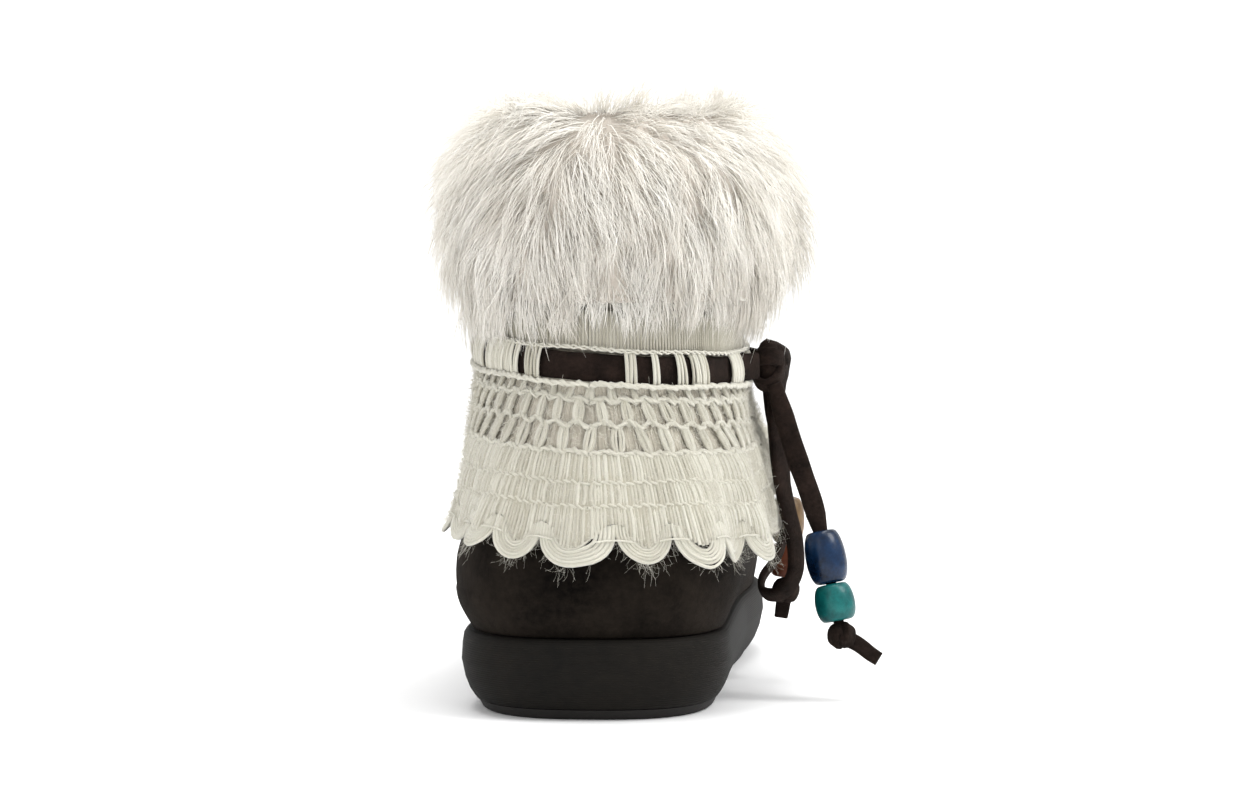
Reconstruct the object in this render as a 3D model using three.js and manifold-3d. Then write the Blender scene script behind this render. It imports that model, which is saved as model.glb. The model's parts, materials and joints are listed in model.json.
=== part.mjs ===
// A short winter boot of the mukluk kind, for the right foot: a thick moulded sole, a dark suede
// foot, a pale shaft with a crocheted skirt round it, a fur cuff, and a flat suede lace that runs
// through the crochet and is tied in a bow at the outer side, with two beads on each end.
//
// Millimetres. +Y is towards the toe, +X is the outer side of the right foot, +Z is up. The boot
// stands on z = 0, and the origin is under the middle of the heel seat.

import * as THREE from "three";
import { mergeVertices } from "three/addons/utils/BufferGeometryUtils.js";
import Module from "manifold-3d";

const wasm = await Module();
wasm.setup();

const { abs, cos, floor, max, min, PI, pow, sin, sqrt } = Math;
const { lerp, clamp } = THREE.MathUtils;

// Driving dimensions
const soleBackY = -42; // back of the heel
const soleFrontY = 226; // tip of the toe
const ballOuter = 48.5; // half widths of the sole at the ball
const ballInner = 47;
const soleHeight = 24;
const treadThickness = 3;
const toeSpring = 8; // how far the tip of the sole is lifted
const toeSpringStartY = 168;
const soleHeelEnd = 46; // lengths of the sole's rounded ends
const soleToeEnd = 78;
const archLift = 2.2;
const archStartY = 52;
const archEndY = 112;
const insoleThickness = 4;
const insoleClearance = 0.5;
const upperWall = 2.6; // suede and its fleece lining
const shaftWall = 2.2;
const joinLevel = 5.2; // where the suede foot ends and the pale shaft begins
const collarLevel = 9;
const collarLevelHeight = 15.6; // from one level of the shaft to the next near the collar
const laceWidth = 8.2; // pulled flat round the shaft
const laceThickness = 2;
const laceDrop = 17.25;
const laceLevel = 6.3;
const laceOut = 2.3;
const bowWidth = 6.6; // the lace in the bow, rolled in a little
const bowThickness = 2;
const seam = 0.3; // the clearance between pieces that touch

// Stations along the foot: half widths as shares of those at the ball, and the sideways bend of
// the centre line in millimetres, negative towards the inner side.
const stations = [
  { along: 0.0, outer: 0.83, inner: 0.86, bend: 0 },
  { along: 0.2, outer: 0.85, inner: 0.86, bend: 0 },
  { along: 0.45, outer: 0.89, inner: 0.76, bend: 0.5 },
  { along: 0.68, outer: 1.0, inner: 0.98, bend: 0 },
  { along: 0.85, outer: 0.98, inner: 0.98, bend: -4 },
  { along: 1.0, outer: 0.9, inner: 0.86, bend: -10 },
];

// Levels of the outer surface of foot and shaft, from the edge at the sole up to the collar. Each
// is a loop between a back point and a front point: half widths to either side, the lengths of its
// two rounded ends, how far it takes the foot's own outline (1) or a plain oval (0), and how much
// of the toe's lift it has.
const levels = [
  { backY: -37.5, backZ: 24.3, frontY: 220.5, frontZ: 24.3, outer: 45.2, inner: 43.5, heelEnd: 46, toeEnd: 76, foot: 1, lift: 1 },
  { backY: -40.5, backZ: 33, frontY: 224, frontZ: 37, outer: 47, inner: 46.9, heelEnd: 48, toeEnd: 80, foot: 0.75, lift: 0.8 },
  { backY: -41.2, backZ: 45, frontY: 213, frontZ: 51, outer: 46.6, inner: 45.6, heelEnd: 50, toeEnd: 86, foot: 0.5, lift: 0.4 },
  { backY: -40, backZ: 58, frontY: 186, frontZ: 62, outer: 45.4, inner: 40.6, heelEnd: 52, toeEnd: 92, foot: 0.4, lift: 0.1 },
  { backY: -37.5, backZ: 72, frontY: 152, frontZ: 73.5, outer: 44, inner: 38.4, heelEnd: 54, toeEnd: 88, foot: 0.3, lift: 0 },
  { backY: -34.8, backZ: 86, frontY: 120, frontZ: 88, outer: 42.4, inner: 36.6, heelEnd: 56, toeEnd: 76, foot: 0.15, lift: 0 },
  { backY: -32.8, backZ: 100, frontY: 98, frontZ: 104, outer: 41, inner: 34.8, heelEnd: 57, toeEnd: 64, foot: 0, lift: 0 },
  { backY: -31.8, backZ: 117, frontY: 88, frontZ: 120.5, outer: 41, inner: 33.8, heelEnd: 57, toeEnd: 60, foot: 0, lift: 0 },
  { backY: -31.6, backZ: 134, frontY: 85, frontZ: 136, outer: 42, inner: 34.4, heelEnd: 57, toeEnd: 58, foot: 0, lift: 0 },
  { backY: -32, backZ: 150, frontY: 84, frontZ: 150, outer: 43, inner: 35, heelEnd: 57, toeEnd: 58, foot: 0, lift: 0 },
];
const heelSquareness = 2.7; // exponents of the rounded ends: 2 is an ellipse
const toeSquareness = 2.15;
const shaftSquareness = 2.1;

// The side of the sole: how far it lies inside the widest outline at each height
const soleSide = [
  { z: treadThickness + seam, inset: 4.6 },
  { z: 6.3, inset: 2.5 },
  { z: 9.8, inset: 1.1 },
  { z: 15, inset: 0 },
  { z: 20, inset: 0.3 },
  { z: soleHeight, inset: 1.3 },
];
const treadSide = [
  { z: 0, inset: 7.6 },
  { z: 1.2, inset: 6.2 },
  { z: treadThickness, inset: 5.2 },
];

// Crochet: drops are distances down the surface from its top edge
const bandTopLevel = 7.42; // just under the lower hem of the fur
const bandTilt = 3.3; // lower at the outer side and higher at the inner by this much
const bandColumns = 64;
const bandRows = [
  { drop: 0, out: 0.9, thick: 1.7, holes: "none" }, // woven tape
  { drop: 11.7, out: 3.9, thick: 1.7, holes: "lace" },
  { drop: 22.2, out: 3.9, thick: 1.7, holes: "none" }, // chain
  { drop: 23.4, out: 1.6, thick: 1.9, holes: "mesh" },
  { drop: 26.2, out: 1.7, thick: 1.9, holes: "none" },
  { drop: 27.6, out: 1.8, thick: 1.9, holes: "mesh" },
  { drop: 33.6, out: 2, thick: 1.9, holes: "none" },
  { drop: 35, out: 2.2, thick: 2, holes: "mesh" },
  { drop: 42.6, out: 2.7, thick: 2.2, holes: "none" }, // dense ribs
  { drop: 52, out: 3.3, thick: 2.4, holes: "none" },
  { drop: 64, out: 4, thick: 2.5, holes: "none" },
  { drop: 76, out: 4.4, thick: 2.5, holes: "none" }, // scalloped hem
];
const scallops = 32;
const scallopDepth = 7;
const ruffles = 16;
const rufflePhase = 0.25;
const ruffleDepth = 2.4;
const ruffleStart = 36; // the drop at which the gathers begin
const closeFit = 2; // how far the skirt's inside stands off before it flares
const sideFlare = 0.85; // more flare and deeper gathers at the outer side than at the inner
const sideGathers = 0.6;
const postShift = 0.1; // of a column, so that windows are wider than posts
const frontFlare = 0.45; // share of the flare that is left where the skirt lies on the instep

// The cuff in section: out from the shaft's outer surface and up from the collar's edge
const cuffClearance = 1;
const cuffSection = [
  { out: -(shaftWall + cuffClearance), up: seam },
  { out: -(shaftWall + cuffClearance), up: -15 },
  { out: -8, up: -19 },
  { out: -14, up: -8 },
  { out: -15, up: 8 },
  { out: -11, up: 23 },
  { out: -2, up: 32.5 },
  { out: 4, up: 27 },
  { out: 10.5, up: 17 },
  { out: 13.8, up: 4 },
  { out: 13.4, up: -9 },
  { out: 9, up: -22 },
  { out: 6.5, up: -28 },
  { out: 5.2, up: -24 },
  { out: cuffClearance, up: -21 },
  { out: cuffClearance, up: seam },
];
const cuffLean = 0.26; // fuller at the outer side, flatter at the inner
const cuffWaves = [
  { count: 5, depth: 0.05, phase: 0 },
  { count: 8, depth: 0.03, phase: 0.3 },
];

// General helpers

// A smooth value between the rows of a table, at a place counted in rows.
function between(rows, name, place) {
  const last = rows.length - 1;
  const k = clamp(floor(place), 0, last - 1);
  const row = (i) => rows[clamp(i, 0, last)][name];
  const [a, b, c, d] = [row(k - 1), row(k), row(k + 1), row(k + 2)];
  const f = place - k;
  const slopeB = (c - a) / 2;
  const slopeC = (d - b) / 2;
  const f2 = f * f;
  const f3 = f2 * f;
  return (2 * f3 - 3 * f2 + 1) * b + (f3 - 2 * f2 + f) * slopeB + (3 * f2 - 2 * f3) * c + (f3 - f2) * slopeC;
}

// The place in rows at which a rising column has a value.
function placeOf(rows, name, value) {
  const k = rows.findIndex((row, i) => i > 0 && value <= row[name]);
  const high = k < 0 ? rows.length - 1 : k;
  const low = high - 1;
  return low + clamp((value - rows[low][name]) / (rows[high][name] - rows[low][name]), 0, 1);
}

function meshOf(points, faces) {
  const geometry = new THREE.BufferGeometry();
  geometry.setAttribute("position", new THREE.Float32BufferAttribute(points.flatMap((p) => [p.x, p.y, p.z]), 3));
  geometry.setIndex(faces.flat());
  return geometry;
}

// A closed solid through rings of points that run counter-clockwise seen from the last ring. Its
// two ends are closed across, or the last ring joins the first.
function loft(rings, { joined = false } = {}) {
  const n = rings[0].length;
  const faces = [];
  const count = joined ? rings.length : rings.length - 1;
  for (let r = 0; r < count; r++) {
    const low = r * n;
    const high = ((r + 1) % rings.length) * n;
    for (let i = 0; i < n; i++) {
      const j = (i + 1) % n;
      faces.push([low + i, low + j, high + j], [low + i, high + j, high + i]);
    }
  }
  if (!joined) {
    const top = (rings.length - 1) * n;
    for (let i = 0; 2 * i < n - 1; i++) {
      const [a, b] = [i, n - 1 - i];
      const [c, d] = [i + 1, n - 2 - i];
      if (b - a > 1) {
        faces.push([a, b, c], [top + a, top + c, top + b]);
      }
      if (d > c) {
        faces.push([c, b, d], [top + c, top + d, top + b]);
      }
    }
  }
  return meshOf(rings.flat(), faces);
}

function solidOf(geometry) {
  const bare = geometry.clone();
  bare.deleteAttribute("normal");
  bare.deleteAttribute("uv");
  const merged = mergeVertices(bare, 1e-4);
  return new wasm.Manifold(
    new wasm.Mesh({
      numProp: 3,
      vertProperties: new Float32Array(merged.attributes.position.array),
      triVerts: new Uint32Array(merged.index.array),
    }),
  );
}

function geometryOf(solid) {
  const mesh = solid.getMesh();
  const geometry = new THREE.BufferGeometry();
  geometry.setAttribute("position", new THREE.BufferAttribute(new Float32Array(mesh.vertProperties), 3));
  geometry.setIndex(new THREE.BufferAttribute(new Uint32Array(mesh.triVerts), 1));
  return geometry;
}

// Foot and shaft

// A rounded end: 0 at its tip and 1 from its far side on.
function roundedEnd(share, squareness) {
  return pow(1 - pow(1 - clamp(share, 0, 1), squareness), 1 / squareness);
}

function toeLift(y) {
  const share = clamp((y - toeSpringStartY) / (soleFrontY - toeSpringStartY), 0, 1);
  return toeSpring * share * share;
}

// One point of a loop. Turn runs from 0 at the back over the outer side, a half at the front.
function loopPoint(loop, turn) {
  const angle = 2 * PI * turn;
  const along = (1 - cos(angle)) / 2;
  const side = sin(angle) >= 0 ? "outer" : "inner";
  const place = placeOf(stations, "along", along);
  const share = lerp(1, between(stations, side, place), loop.foot);
  const y = lerp(loop.backY, loop.frontY, along);
  const heelShape = lerp(shaftSquareness, heelSquareness, min(1, 2 * loop.foot));
  const ends = roundedEnd((y - loop.backY) / loop.heelEnd, heelShape) * roundedEnd((loop.frontY - y) / loop.toeEnd, toeSquareness);
  const halfWidth = loop[side] * share * ends * (side === "outer" ? 1 : -1);
  const x = halfWidth + between(stations, "bend", place) * loop.foot;
  const z = lerp(loop.backZ, loop.frontZ, along) + toeLift(y) * loop.lift;
  return new THREE.Vector3(x, y, z);
}

function levelLoop(level) {
  const names = Object.keys(levels[0]);
  return Object.fromEntries(names.map((name) => [name, between(levels, name, level)]));
}

function surfacePoint(turn, level) {
  return loopPoint(levelLoop(level), turn);
}

function surfaceNormal(turn, level) {
  const step = 0.004;
  const low = clamp(level - 0.05, 0, collarLevel);
  const high = clamp(level + 0.05, 0, collarLevel);
  const around = surfacePoint(turn + step, level).sub(surfacePoint(turn - step, level));
  const up = surfacePoint(turn, high).sub(surfacePoint(turn, low));
  return around.cross(up).normalize();
}

function turnsOf(count) {
  return Array.from({ length: count }, (_, i) => i / count);
}

// A ring of the surface, moved inwards by a depth. At an open edge it is moved level, so that the
// edge of the wall is square.
function surfaceRing(turns, level, depth, square) {
  return turns.map((turn) => {
    const normal = surfaceNormal(turn, level);
    if (square) {
      normal.setZ(0).normalize();
    }
    return surfacePoint(turn, level).addScaledVector(normal, -depth);
  });
}

// A wall between two levels: up its outer face, over the edge, and down its inner face.
function wall(turns, levelList, outerDepth, innerDepth) {
  const ends = [levelList[0], levelList[levelList.length - 1]];
  const outer = levelList.map((level) => surfaceRing(turns, level, outerDepth, ends.includes(level)));
  const inner = levelList.map((level) => surfaceRing(turns, level, innerDepth, ends.includes(level)));
  return loft([...outer, ...inner.reverse()], { joined: true });
}

function upper() {
  const levelList = [0, 0.5, 1.1, 1.9, 2.7, 3.5, 4.4, joinLevel];
  return wall(turnsOf(40), levelList, 0, upperWall);
}

function shaft() {
  const start = joinLevel + 0.02;
  const levelList = [start, 5.7, 6.4, 7.3, collarLevel];
  return wall(turnsOf(36), levelList, 0, shaftWall);
}

// Sole

function soleLoop(inset, z, lift) {
  return {
    backY: soleBackY + inset,
    frontY: soleFrontY - inset,
    backZ: z,
    frontZ: z,
    outer: ballOuter - inset,
    inner: ballInner - inset,
    heelEnd: soleHeelEnd,
    toeEnd: soleToeEnd,
    foot: 1,
    lift,
  };
}

function soleRing(count, { z, inset }) {
  return turnsOf(count).map((turn) => loopPoint(soleLoop(inset, z, 1), turn));
}

function sole() {
  return loft(soleSide.map((row) => soleRing(44, row)));
}

// The arch of the foot's underside: a shallow lift between heel and ball.
function archZ(y) {
  const share = clamp((y - archStartY) / (archEndY - archStartY), 0, 1);
  return archLift * pow(sin(PI * share), 2);
}

const lugPitch = 11;
const lugGroove = 3.4;
const lugDepth = 1.5;
const lugRim = 9; // uncut rim round the grooves
const heelLugs = { fromY: -16.5, count: 5 };
const foreLugs = { fromY: 112, count: 6 };

function tread() {
  const rings = treadSide.map((row, i) => {
    const ring = soleRing(44, row);
    return i === 0 ? ring.map((p) => p.setZ(p.z + archZ(p.y))) : ring;
  });
  let solid = solidOf(loft(rings));
  for (const group of [heelLugs, foreLugs]) {
    for (let i = 0; i < group.count; i++) {
      const y = group.fromY + i * lugPitch;
      const along = (y - soleBackY) / (soleFrontY - soleBackY);
      const place = placeOf(stations, "along", along);
      const back = roundedEnd((y - soleBackY) / soleHeelEnd, heelSquareness);
      const outer = ballOuter * between(stations, "outer", place) * back - lugRim - treadSide[0].inset;
      const inner = ballInner * between(stations, "inner", place) * back - lugRim - treadSide[0].inset;
      const bar = new THREE.BoxGeometry(outer + inner, lugGroove, 2 * lugDepth);
      bar.translate((outer - inner) / 2 + between(stations, "bend", place), y, toeLift(y));
      solid = solid.subtract(solidOf(bar));
    }
  }
  return geometryOf(solid);
}

function insole() {
  const ring = surfaceRing(turnsOf(40), 0, upperWall + insoleClearance, true);
  const top = ring.map((p) => p.clone().setZ(p.z + insoleThickness));
  return loft([ring, top]);
}

// Crochet skirt

// Places down the surface from the band's top edge, found by walking down it in small steps.
function walker(turn) {
  const steps = 120;
  const start = bandTopLevel;
  const points = Array.from({ length: steps + 1 }, (_, i) => surfacePoint(turn, start * (1 - i / steps)));
  const travelled = [0];
  for (let i = 1; i <= steps; i++) {
    travelled.push(travelled[i - 1] + points[i].distanceTo(points[i - 1]));
  }
  return (drop) => {
    const k = max(1, travelled.findIndex((far) => far >= drop));
    const share = (drop - travelled[k - 1]) / (travelled[k] - travelled[k - 1]);
    return start * (1 - (k - 1 + share) / steps);
  };
}

// How far the front of the boot a turn lies: 1 over the instep and 0 from the sides back.
function frontness(turn) {
  return pow(max(0, -cos(2 * PI * turn)), 1.5);
}

// The skirt's flare and gathers at a drop: the gathers grow towards the hem.
function bandOut(turn, drop, out) {
  const last = bandRows[bandRows.length - 1].drop;
  const front = frontness(turn);
  const flare = max(0, out - closeFit) * lerp(1 + sideFlare * sin(2 * PI * turn), frontFlare, front);
  const reach = pow(clamp((drop - ruffleStart) / (last - ruffleStart), 0, 1), 1.3);
  const deep = ruffleDepth * (1 + sideGathers * sin(2 * PI * turn));
  const ruffle = deep * reach * sin(2 * PI * (ruffles * turn + rufflePhase));
  return min(out, closeFit) + flare + ruffle * lerp(1, 0.5, front);
}

// A place on the skirt: down from its tilted top edge and out from the boot's surface.
function bandPoint(turn, levelAt, drop, out) {
  const tilt = bandTilt * (1 + sin(2 * PI * turn));
  const level = levelAt(max(0, drop + tilt));
  const normal = surfaceNormal(turn, level);
  return surfacePoint(turn, level).addScaledVector(normal, out);
}

function hemDrop(turn, drop) {
  const share = (turn * scallops) % 1;
  return drop - scallopDepth * pow(abs(cos(PI * share)), 2.2);
}

// Columns that are open in the lace's row: long windows, short ones, and the two where it comes out
const laceHoles = [0, 1, 3, 5, 7, 9, 12, 13, 16, 17, 20, 21, 22, 24, 26, 28, 30, 32, 33, 35, 37, 39, 41, 42, 43];
laceHoles.push(45, 47, 50, 51, 52, 54, 56, 58, 61, 62, 63);

function crochetBand() {
  const columns = turnsOf(bandColumns);
  // Posts are narrower than the windows beside them.
  const turns = columns.map((turn, i) => turn + (i % 2 ? postShift : -postShift) / bandColumns);
  const walkers = turns.map(walker);
  const outer = [];
  const inner = [];
  bandRows.forEach((row, r) => {
    const hem = r === bandRows.length - 1;
    const flared = row.holes !== "lace" && bandRows[max(0, r - 1)].holes !== "lace" && r > 0;
    for (let i = 0; i < bandColumns; i++) {
      const turn = turns[i];
      const drop = hem ? hemDrop(columns[i], row.drop) : row.drop;
      const out = flared ? bandOut(turn, drop, row.out) : row.out;
      inner.push(bandPoint(turn, walkers[i], drop, out));
      outer.push(bandPoint(turn, walkers[i], drop, out + row.thick));
    }
  });
  const open = (r, i) => {
    if (r < 0 || r >= bandRows.length - 1) {
      return true;
    }
    const column = (i + bandColumns) % bandColumns;
    const kind = bandRows[r].holes;
    return (kind === "mesh" && column % 2 === 0) || (kind === "lace" && laceHoles.includes(column));
  };
  const shift = outer.length;
  const at = (r, i) => r * bandColumns + ((i + bandColumns) % bandColumns);
  const faces = [];
  const quad = (a, b, c, d) => faces.push([a, b, c], [a, c, d]);
  for (let r = 0; r < bandRows.length - 1; r++) {
    for (let i = 0; i < bandColumns; i++) {
      if (open(r, i)) {
        continue;
      }
      const [a, b, c, d] = [at(r, i), at(r + 1, i), at(r + 1, i + 1), at(r, i + 1)];
      quad(a, b, c, d);
      quad(shift + a, shift + d, shift + c, shift + b);
      if (open(r, i - 1)) {
        quad(a, shift + a, shift + b, b);
      }
      if (open(r, i + 1)) {
        quad(d, c, shift + c, shift + d);
      }
      if (open(r - 1, i)) {
        quad(a, d, shift + d, shift + a);
      }
      if (open(r + 1, i)) {
        quad(b, shift + b, shift + c, c);
      }
    }
  }
  return meshOf([...outer, ...inner], faces);
}

// Fur cuff

const cuffTurns = 28;
const lockSink = 4.5; // how deep a lock's root lies in the roll
const lockRows = [
  { count: 16, out: 13, up: -23, length: 18, radius: 4.8, lean: 0.1 },
  { count: 13, out: 13.4, up: -9, length: 24, radius: 7.5, lean: 0.1 },
  { count: 11, out: 13.4, up: 6, length: 25, radius: 7.5, lean: 0.2 },
  { count: 9, out: 7.5, up: 20, length: 24, radius: 7.5, lean: 0.66 },
];
const lockUneven = { length: 0.14, sideways: 0.25 }; // shares by which the locks differ
const frontLean = 0.75; // the locks stand further out over the instep

// A place beside the shaft: out from its outer surface and up from the collar's edge.
function collarPoint(turn, out, up) {
  const normal = surfaceNormal(turn, collarLevel).setZ(0).normalize();
  const level = collarLevel + min(0, up) / collarLevelHeight;
  const top = surfacePoint(turn, collarLevel).z;
  return surfacePoint(turn, level).addScaledVector(normal, out).setZ(top + up);
}

// How much of a cuff section's reach is taken at a turn.
function cuffSwell(turn, out) {
  const lean = 1 + cuffLean * sin(2 * PI * turn);
  const waves = cuffWaves.map(({ count, depth, phase }) => depth * sin(2 * PI * (count * turn + phase)));
  return out > cuffClearance ? lean * waves.reduce((sum, wave) => sum + wave, 1) : 1;
}

function furCuff() {
  const rings = turnsOf(cuffTurns).map((turn) =>
    cuffSection.map(({ out, up }) => collarPoint(turn, out * cuffSwell(turn, out), up)),
  );
  let solid = solidOf(loft(rings, { joined: true }));
  for (const [r, row] of lockRows.entries()) {
    for (let i = 0; i < row.count; i++) {
      const turn = (i + 0.5 * (r % 2)) / row.count;
      const length = row.length * (1 + lockUneven.length * sin(7.3 * i + 2.1 * r));
      const fullness = cuffSwell(turn, row.out);
      const root = collarPoint(turn, (row.out - lockSink) * fullness, row.up + lockSink);
      const outward = surfaceNormal(turn, collarLevel).setZ(0).normalize();
      const sideways = new THREE.Vector3(-outward.y, outward.x, 0).multiplyScalar(lockUneven.sideways * sin(5.1 * i + r));
      const lean = row.lean + frontLean * frontness(turn);
      const way = outward.multiplyScalar(lean).add(sideways).add(new THREE.Vector3(0, 0, -1)).normalize();
      const lock = new THREE.ConeGeometry(row.radius * fullness, length, 5);
      lock.translate(0, length / 2, 0);
      lock.applyQuaternion(new THREE.Quaternion().setFromUnitVectors(new THREE.Vector3(0, 1, 0), way));
      lock.translate(root.x, root.y, root.z);
      solid = solid.add(solidOf(lock));
    }
  }
  return geometryOf(solid);
}

// Lace

const bandSection = [[-1, -1], [-1, 1], [1, 1], [1, -1]];
const strapSection = [[-1, -0.4], [-1, 0.4], [-0.8, 1], [0.8, 1], [1, 0.4], [1, -0.4], [0.8, -1], [-0.8, -1]];

// A flat strap through stops, each with the way that its broad face looks, its width and its
// thickness.
function strap(stops, section) {
  const points = stops.map((stop) => new THREE.Vector3(...stop.at));
  const rings = stops.map((stop, i) => {
    const before = points[max(0, i - 1)];
    const after = points[min(points.length - 1, i + 1)];
    const tangent = after.clone().sub(before).normalize();
    const face = new THREE.Vector3(...stop.face);
    face.addScaledVector(tangent, -face.dot(tangent)).normalize();
    const across = new THREE.Vector3().crossVectors(tangent, face);
    return section.map(([a, b]) =>
      points[i].clone().addScaledVector(across, (a * stop.width) / 2).addScaledVector(face, (b * stop.thick) / 2),
    );
  });
  return loft(rings);
}

// More stops on a smooth curve through a few chosen ones.
function smoothStops(stops, count) {
  const path = new THREE.CatmullRomCurve3(stops.map((stop) => new THREE.Vector3(...stop.at)), false, "centripetal");
  const places = stops.length - 1;
  return Array.from({ length: count + 1 }, (_, i) => {
    const place = (i / count) * places;
    const k = min(floor(place), places - 1);
    const f = place - k;
    const blend = (name, usual) => lerp(stops[k][name] ?? usual, stops[k + 1][name] ?? usual, f);
    const face = [0, 1, 2].map((axis) => lerp(stops[k].face[axis], stops[k + 1].face[axis], f));
    return {
      at: path.getPoint(i / count).toArray(),
      face,
      width: blend("width", bowWidth),
      thick: blend("thick", bowThickness),
    };
  });
}

// The lace's run round the shaft: behind the posts, and out through a window at each end.
const laceExits = [
  { column: 15.85, out: 7.2 },
  { column: 16.2, out: 7.1 },
  { column: 17, out: 4.7 },
  { column: 17.75, out: 2.3 },
  { column: 18.6, out: laceOut },
];
const laceReturns = [
  { column: 11.4, out: laceOut },
  { column: 12.2, out: 2.2 },
  { column: 13, out: 4.5 },
  { column: 13.75, out: 6.8 },
  { column: 14, out: 7 },
];
const laceSteps = 40;

function laceStop({ column, out }) {
  const turn = column / bandColumns;
  const point = bandPoint(turn, walker(turn), laceDrop, out);
  const face = surfaceNormal(turn, laceLevel);
  return { at: point.toArray(), face: face.toArray(), width: laceWidth, thick: laceThickness };
}

function laceBand() {
  const from = laceExits[laceExits.length - 1].column;
  const to = laceReturns[0].column + bandColumns;
  const run = Array.from({ length: laceSteps - 1 }, (_, i) => ({
    column: lerp(from, to, (i + 1) / laceSteps),
    out: laceOut,
  }));
  return strap([...laceExits, ...run, ...laceReturns].map(laceStop), bandSection);
}

// The knot of the bow, a lump with one turn of the lace over it.
const knotCentre = new THREE.Vector3(52, 26, 102.8);
const knotRadii = new THREE.Vector3(5, 6.2, 8.5);
const knotWrap = { radius: 0.86, tube: 0.2 };
const knotTilt = -PI / 9;

function laceKnot() {
  const lump = new THREE.SphereGeometry(1, 8, 5);
  const wrap = new THREE.TorusGeometry(knotWrap.radius, knotWrap.tube, 4, 9);
  wrap.scale(1, 1, 2);
  wrap.rotateY(PI / 2);
  wrap.rotateX(PI / 2);
  const solid = solidOf(lump).add(solidOf(wrap));
  const geometry = geometryOf(solid);
  geometry.scale(knotRadii.x, knotRadii.y, knotRadii.z);
  geometry.rotateX(knotTilt);
  geometry.translate(knotCentre.x, knotCentre.y, knotCentre.z);
  return geometry;
}

// Each strand of the bow: places along it, and the way its broad face looks there. It is pinched
// where it leaves the knot.
const pinch = { width: 4.6, thick: 2.2 };
const strands = {
  end_near: {
    steps: 8,
    stops: [
      { at: [53.4, 19.4, 96.6], face: [0.2, -1, 0], ...pinch },
      { at: [56.4, 20.4, 86.5], face: [0.2, -1, 0] },
      { at: [60.6, 19, 73.5], face: [0.2, -1, 0] },
      { at: [64.9, 17, 61.5], face: [0.25, -1, 0] },
      { at: [67.6, 15, 52], face: [0.25, -1, 0], width: 5.6 },
    ],
  },
  loop_near: {
    steps: 25,
    stops: [
      { at: [53.4, 25.4, 94], face: [0.75, -0.65, 0], ...pinch },
      { at: [53.9, 28, 84], face: [0.75, -0.65, 0] },
      { at: [55.2, 30.5, 70], face: [0.75, -0.65, 0] },
      { at: [57.6, 32, 57.5], face: [0.8, -0.6, 0] },
      { at: [60, 33, 46.5], face: [0.85, -0.5, -0.1] },
      { at: [59.8, 34.5, 36.5], face: [0.75, -0.3, -0.6] },
      { at: [55.2, 38.5, 30], face: [0.2, -0.2, -1] },
      { at: [50, 43, 29.8], face: [-0.5, 0, -0.9] },
      { at: [49.2, 47, 34], face: [-0.95, 0.2, -0.3] },
      { at: [54.4, 49.5, 42], face: [-0.95, 0.2, 0] },
      { at: [56.4, 48.5, 54], face: [-0.95, 0.2, 0] },
      { at: [55.2, 46, 68], face: [-0.95, 0.2, 0] },
      { at: [53.2, 41, 80], face: [-0.95, 0.2, 0] },
      { at: [51.6, 35, 88], face: [-0.95, 0.2, 0] },
      { at: [50.9, 31.2, 94.2], face: [-0.95, 0.3, 0], ...pinch },
    ],
  },
  loop_far: {
    steps: 18,
    stops: [
      { at: [54.1, 32.6, 107.2], face: [0.5, 0, 0.85], ...pinch },
      { at: [55, 46, 107], face: [0.5, 0, 0.85] },
      { at: [55.4, 64, 103.4], face: [0.5, 0, 0.85] },
      { at: [54.4, 79, 97.6], face: [0.5, 0.4, 0.7] },
      { at: [53.6, 84.5, 92.8], face: [0.5, 0.85, 0] },
      { at: [53.6, 79, 90.6], face: [0.5, 0.3, -0.8] },
      { at: [54, 64, 93.5], face: [0.5, 0, -0.85] },
      { at: [54.6, 47, 98.6], face: [0.5, 0, -0.85] },
      { at: [54.9, 32.8, 101.4], face: [0.5, 0, -0.85], ...pinch },
    ],
  },
  end_far: {
    steps: 10,
    stops: [
      { at: [53.8, 30.2, 96.8], face: [1, 0.1, 0], ...pinch },
      { at: [55.6, 41, 91.5], face: [1, 0.1, 0] },
      { at: [56.3, 52, 82], face: [1, 0.1, 0] },
      { at: [56.8, 58.5, 71], face: [1, 0.1, 0] },
      { at: [57.2, 60.6, 64], face: [1, 0.1, 0] },
      { at: [57.3, 61.2, 58.8], face: [1, 0.1, 0], width: 5.6 },
    ],
  },
};

// Beads and knots on an end: they follow each other along a straight way from its last stop.
const beadGap = seam;
const beads = {
  blue: { length: 16.2, radius: 6.25, mouth: 3.4, bulge: 0.42 },
  teal: { length: 11.4, radius: 6.15, mouth: 3.6, bulge: 0.42 },
  tan: { length: 14.5, radius: 5.5, mouth: 3, bulge: 0.5 },
  copper: { length: 10.4, radius: 5.5, mouth: 3.2, bulge: 0.42 },
};
const endKnot = { length: 8.4, radius: 5 };
const ends = {
  near: { way: [0.2, -0.13, -0.97], beads: ["blue", "teal"], tail: [11, -0.6, -3.4] },
  far: { way: [-0.02, 0.06, -1], beads: ["tan", "copper"], tail: [-1.5, 4, -9] },
};
const tailStart = 0.5; // of the knot's radius
const tailWidth = 3.2;
const tailThickness = 1.8;

function beadShape({ length, radius, mouth, bulge }) {
  const steps = 5;
  const profile = [new THREE.Vector2(0, -length / 2)];
  for (let i = 0; i <= steps; i++) {
    const share = (2 * i) / steps - 1;
    const reach = lerp(mouth, radius, pow(1 - share * share, bulge));
    profile.push(new THREE.Vector2(reach, (share * length) / 2));
  }
  profile.push(new THREE.Vector2(0, length / 2));
  return new THREE.LatheGeometry(profile, 10);
}

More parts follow.
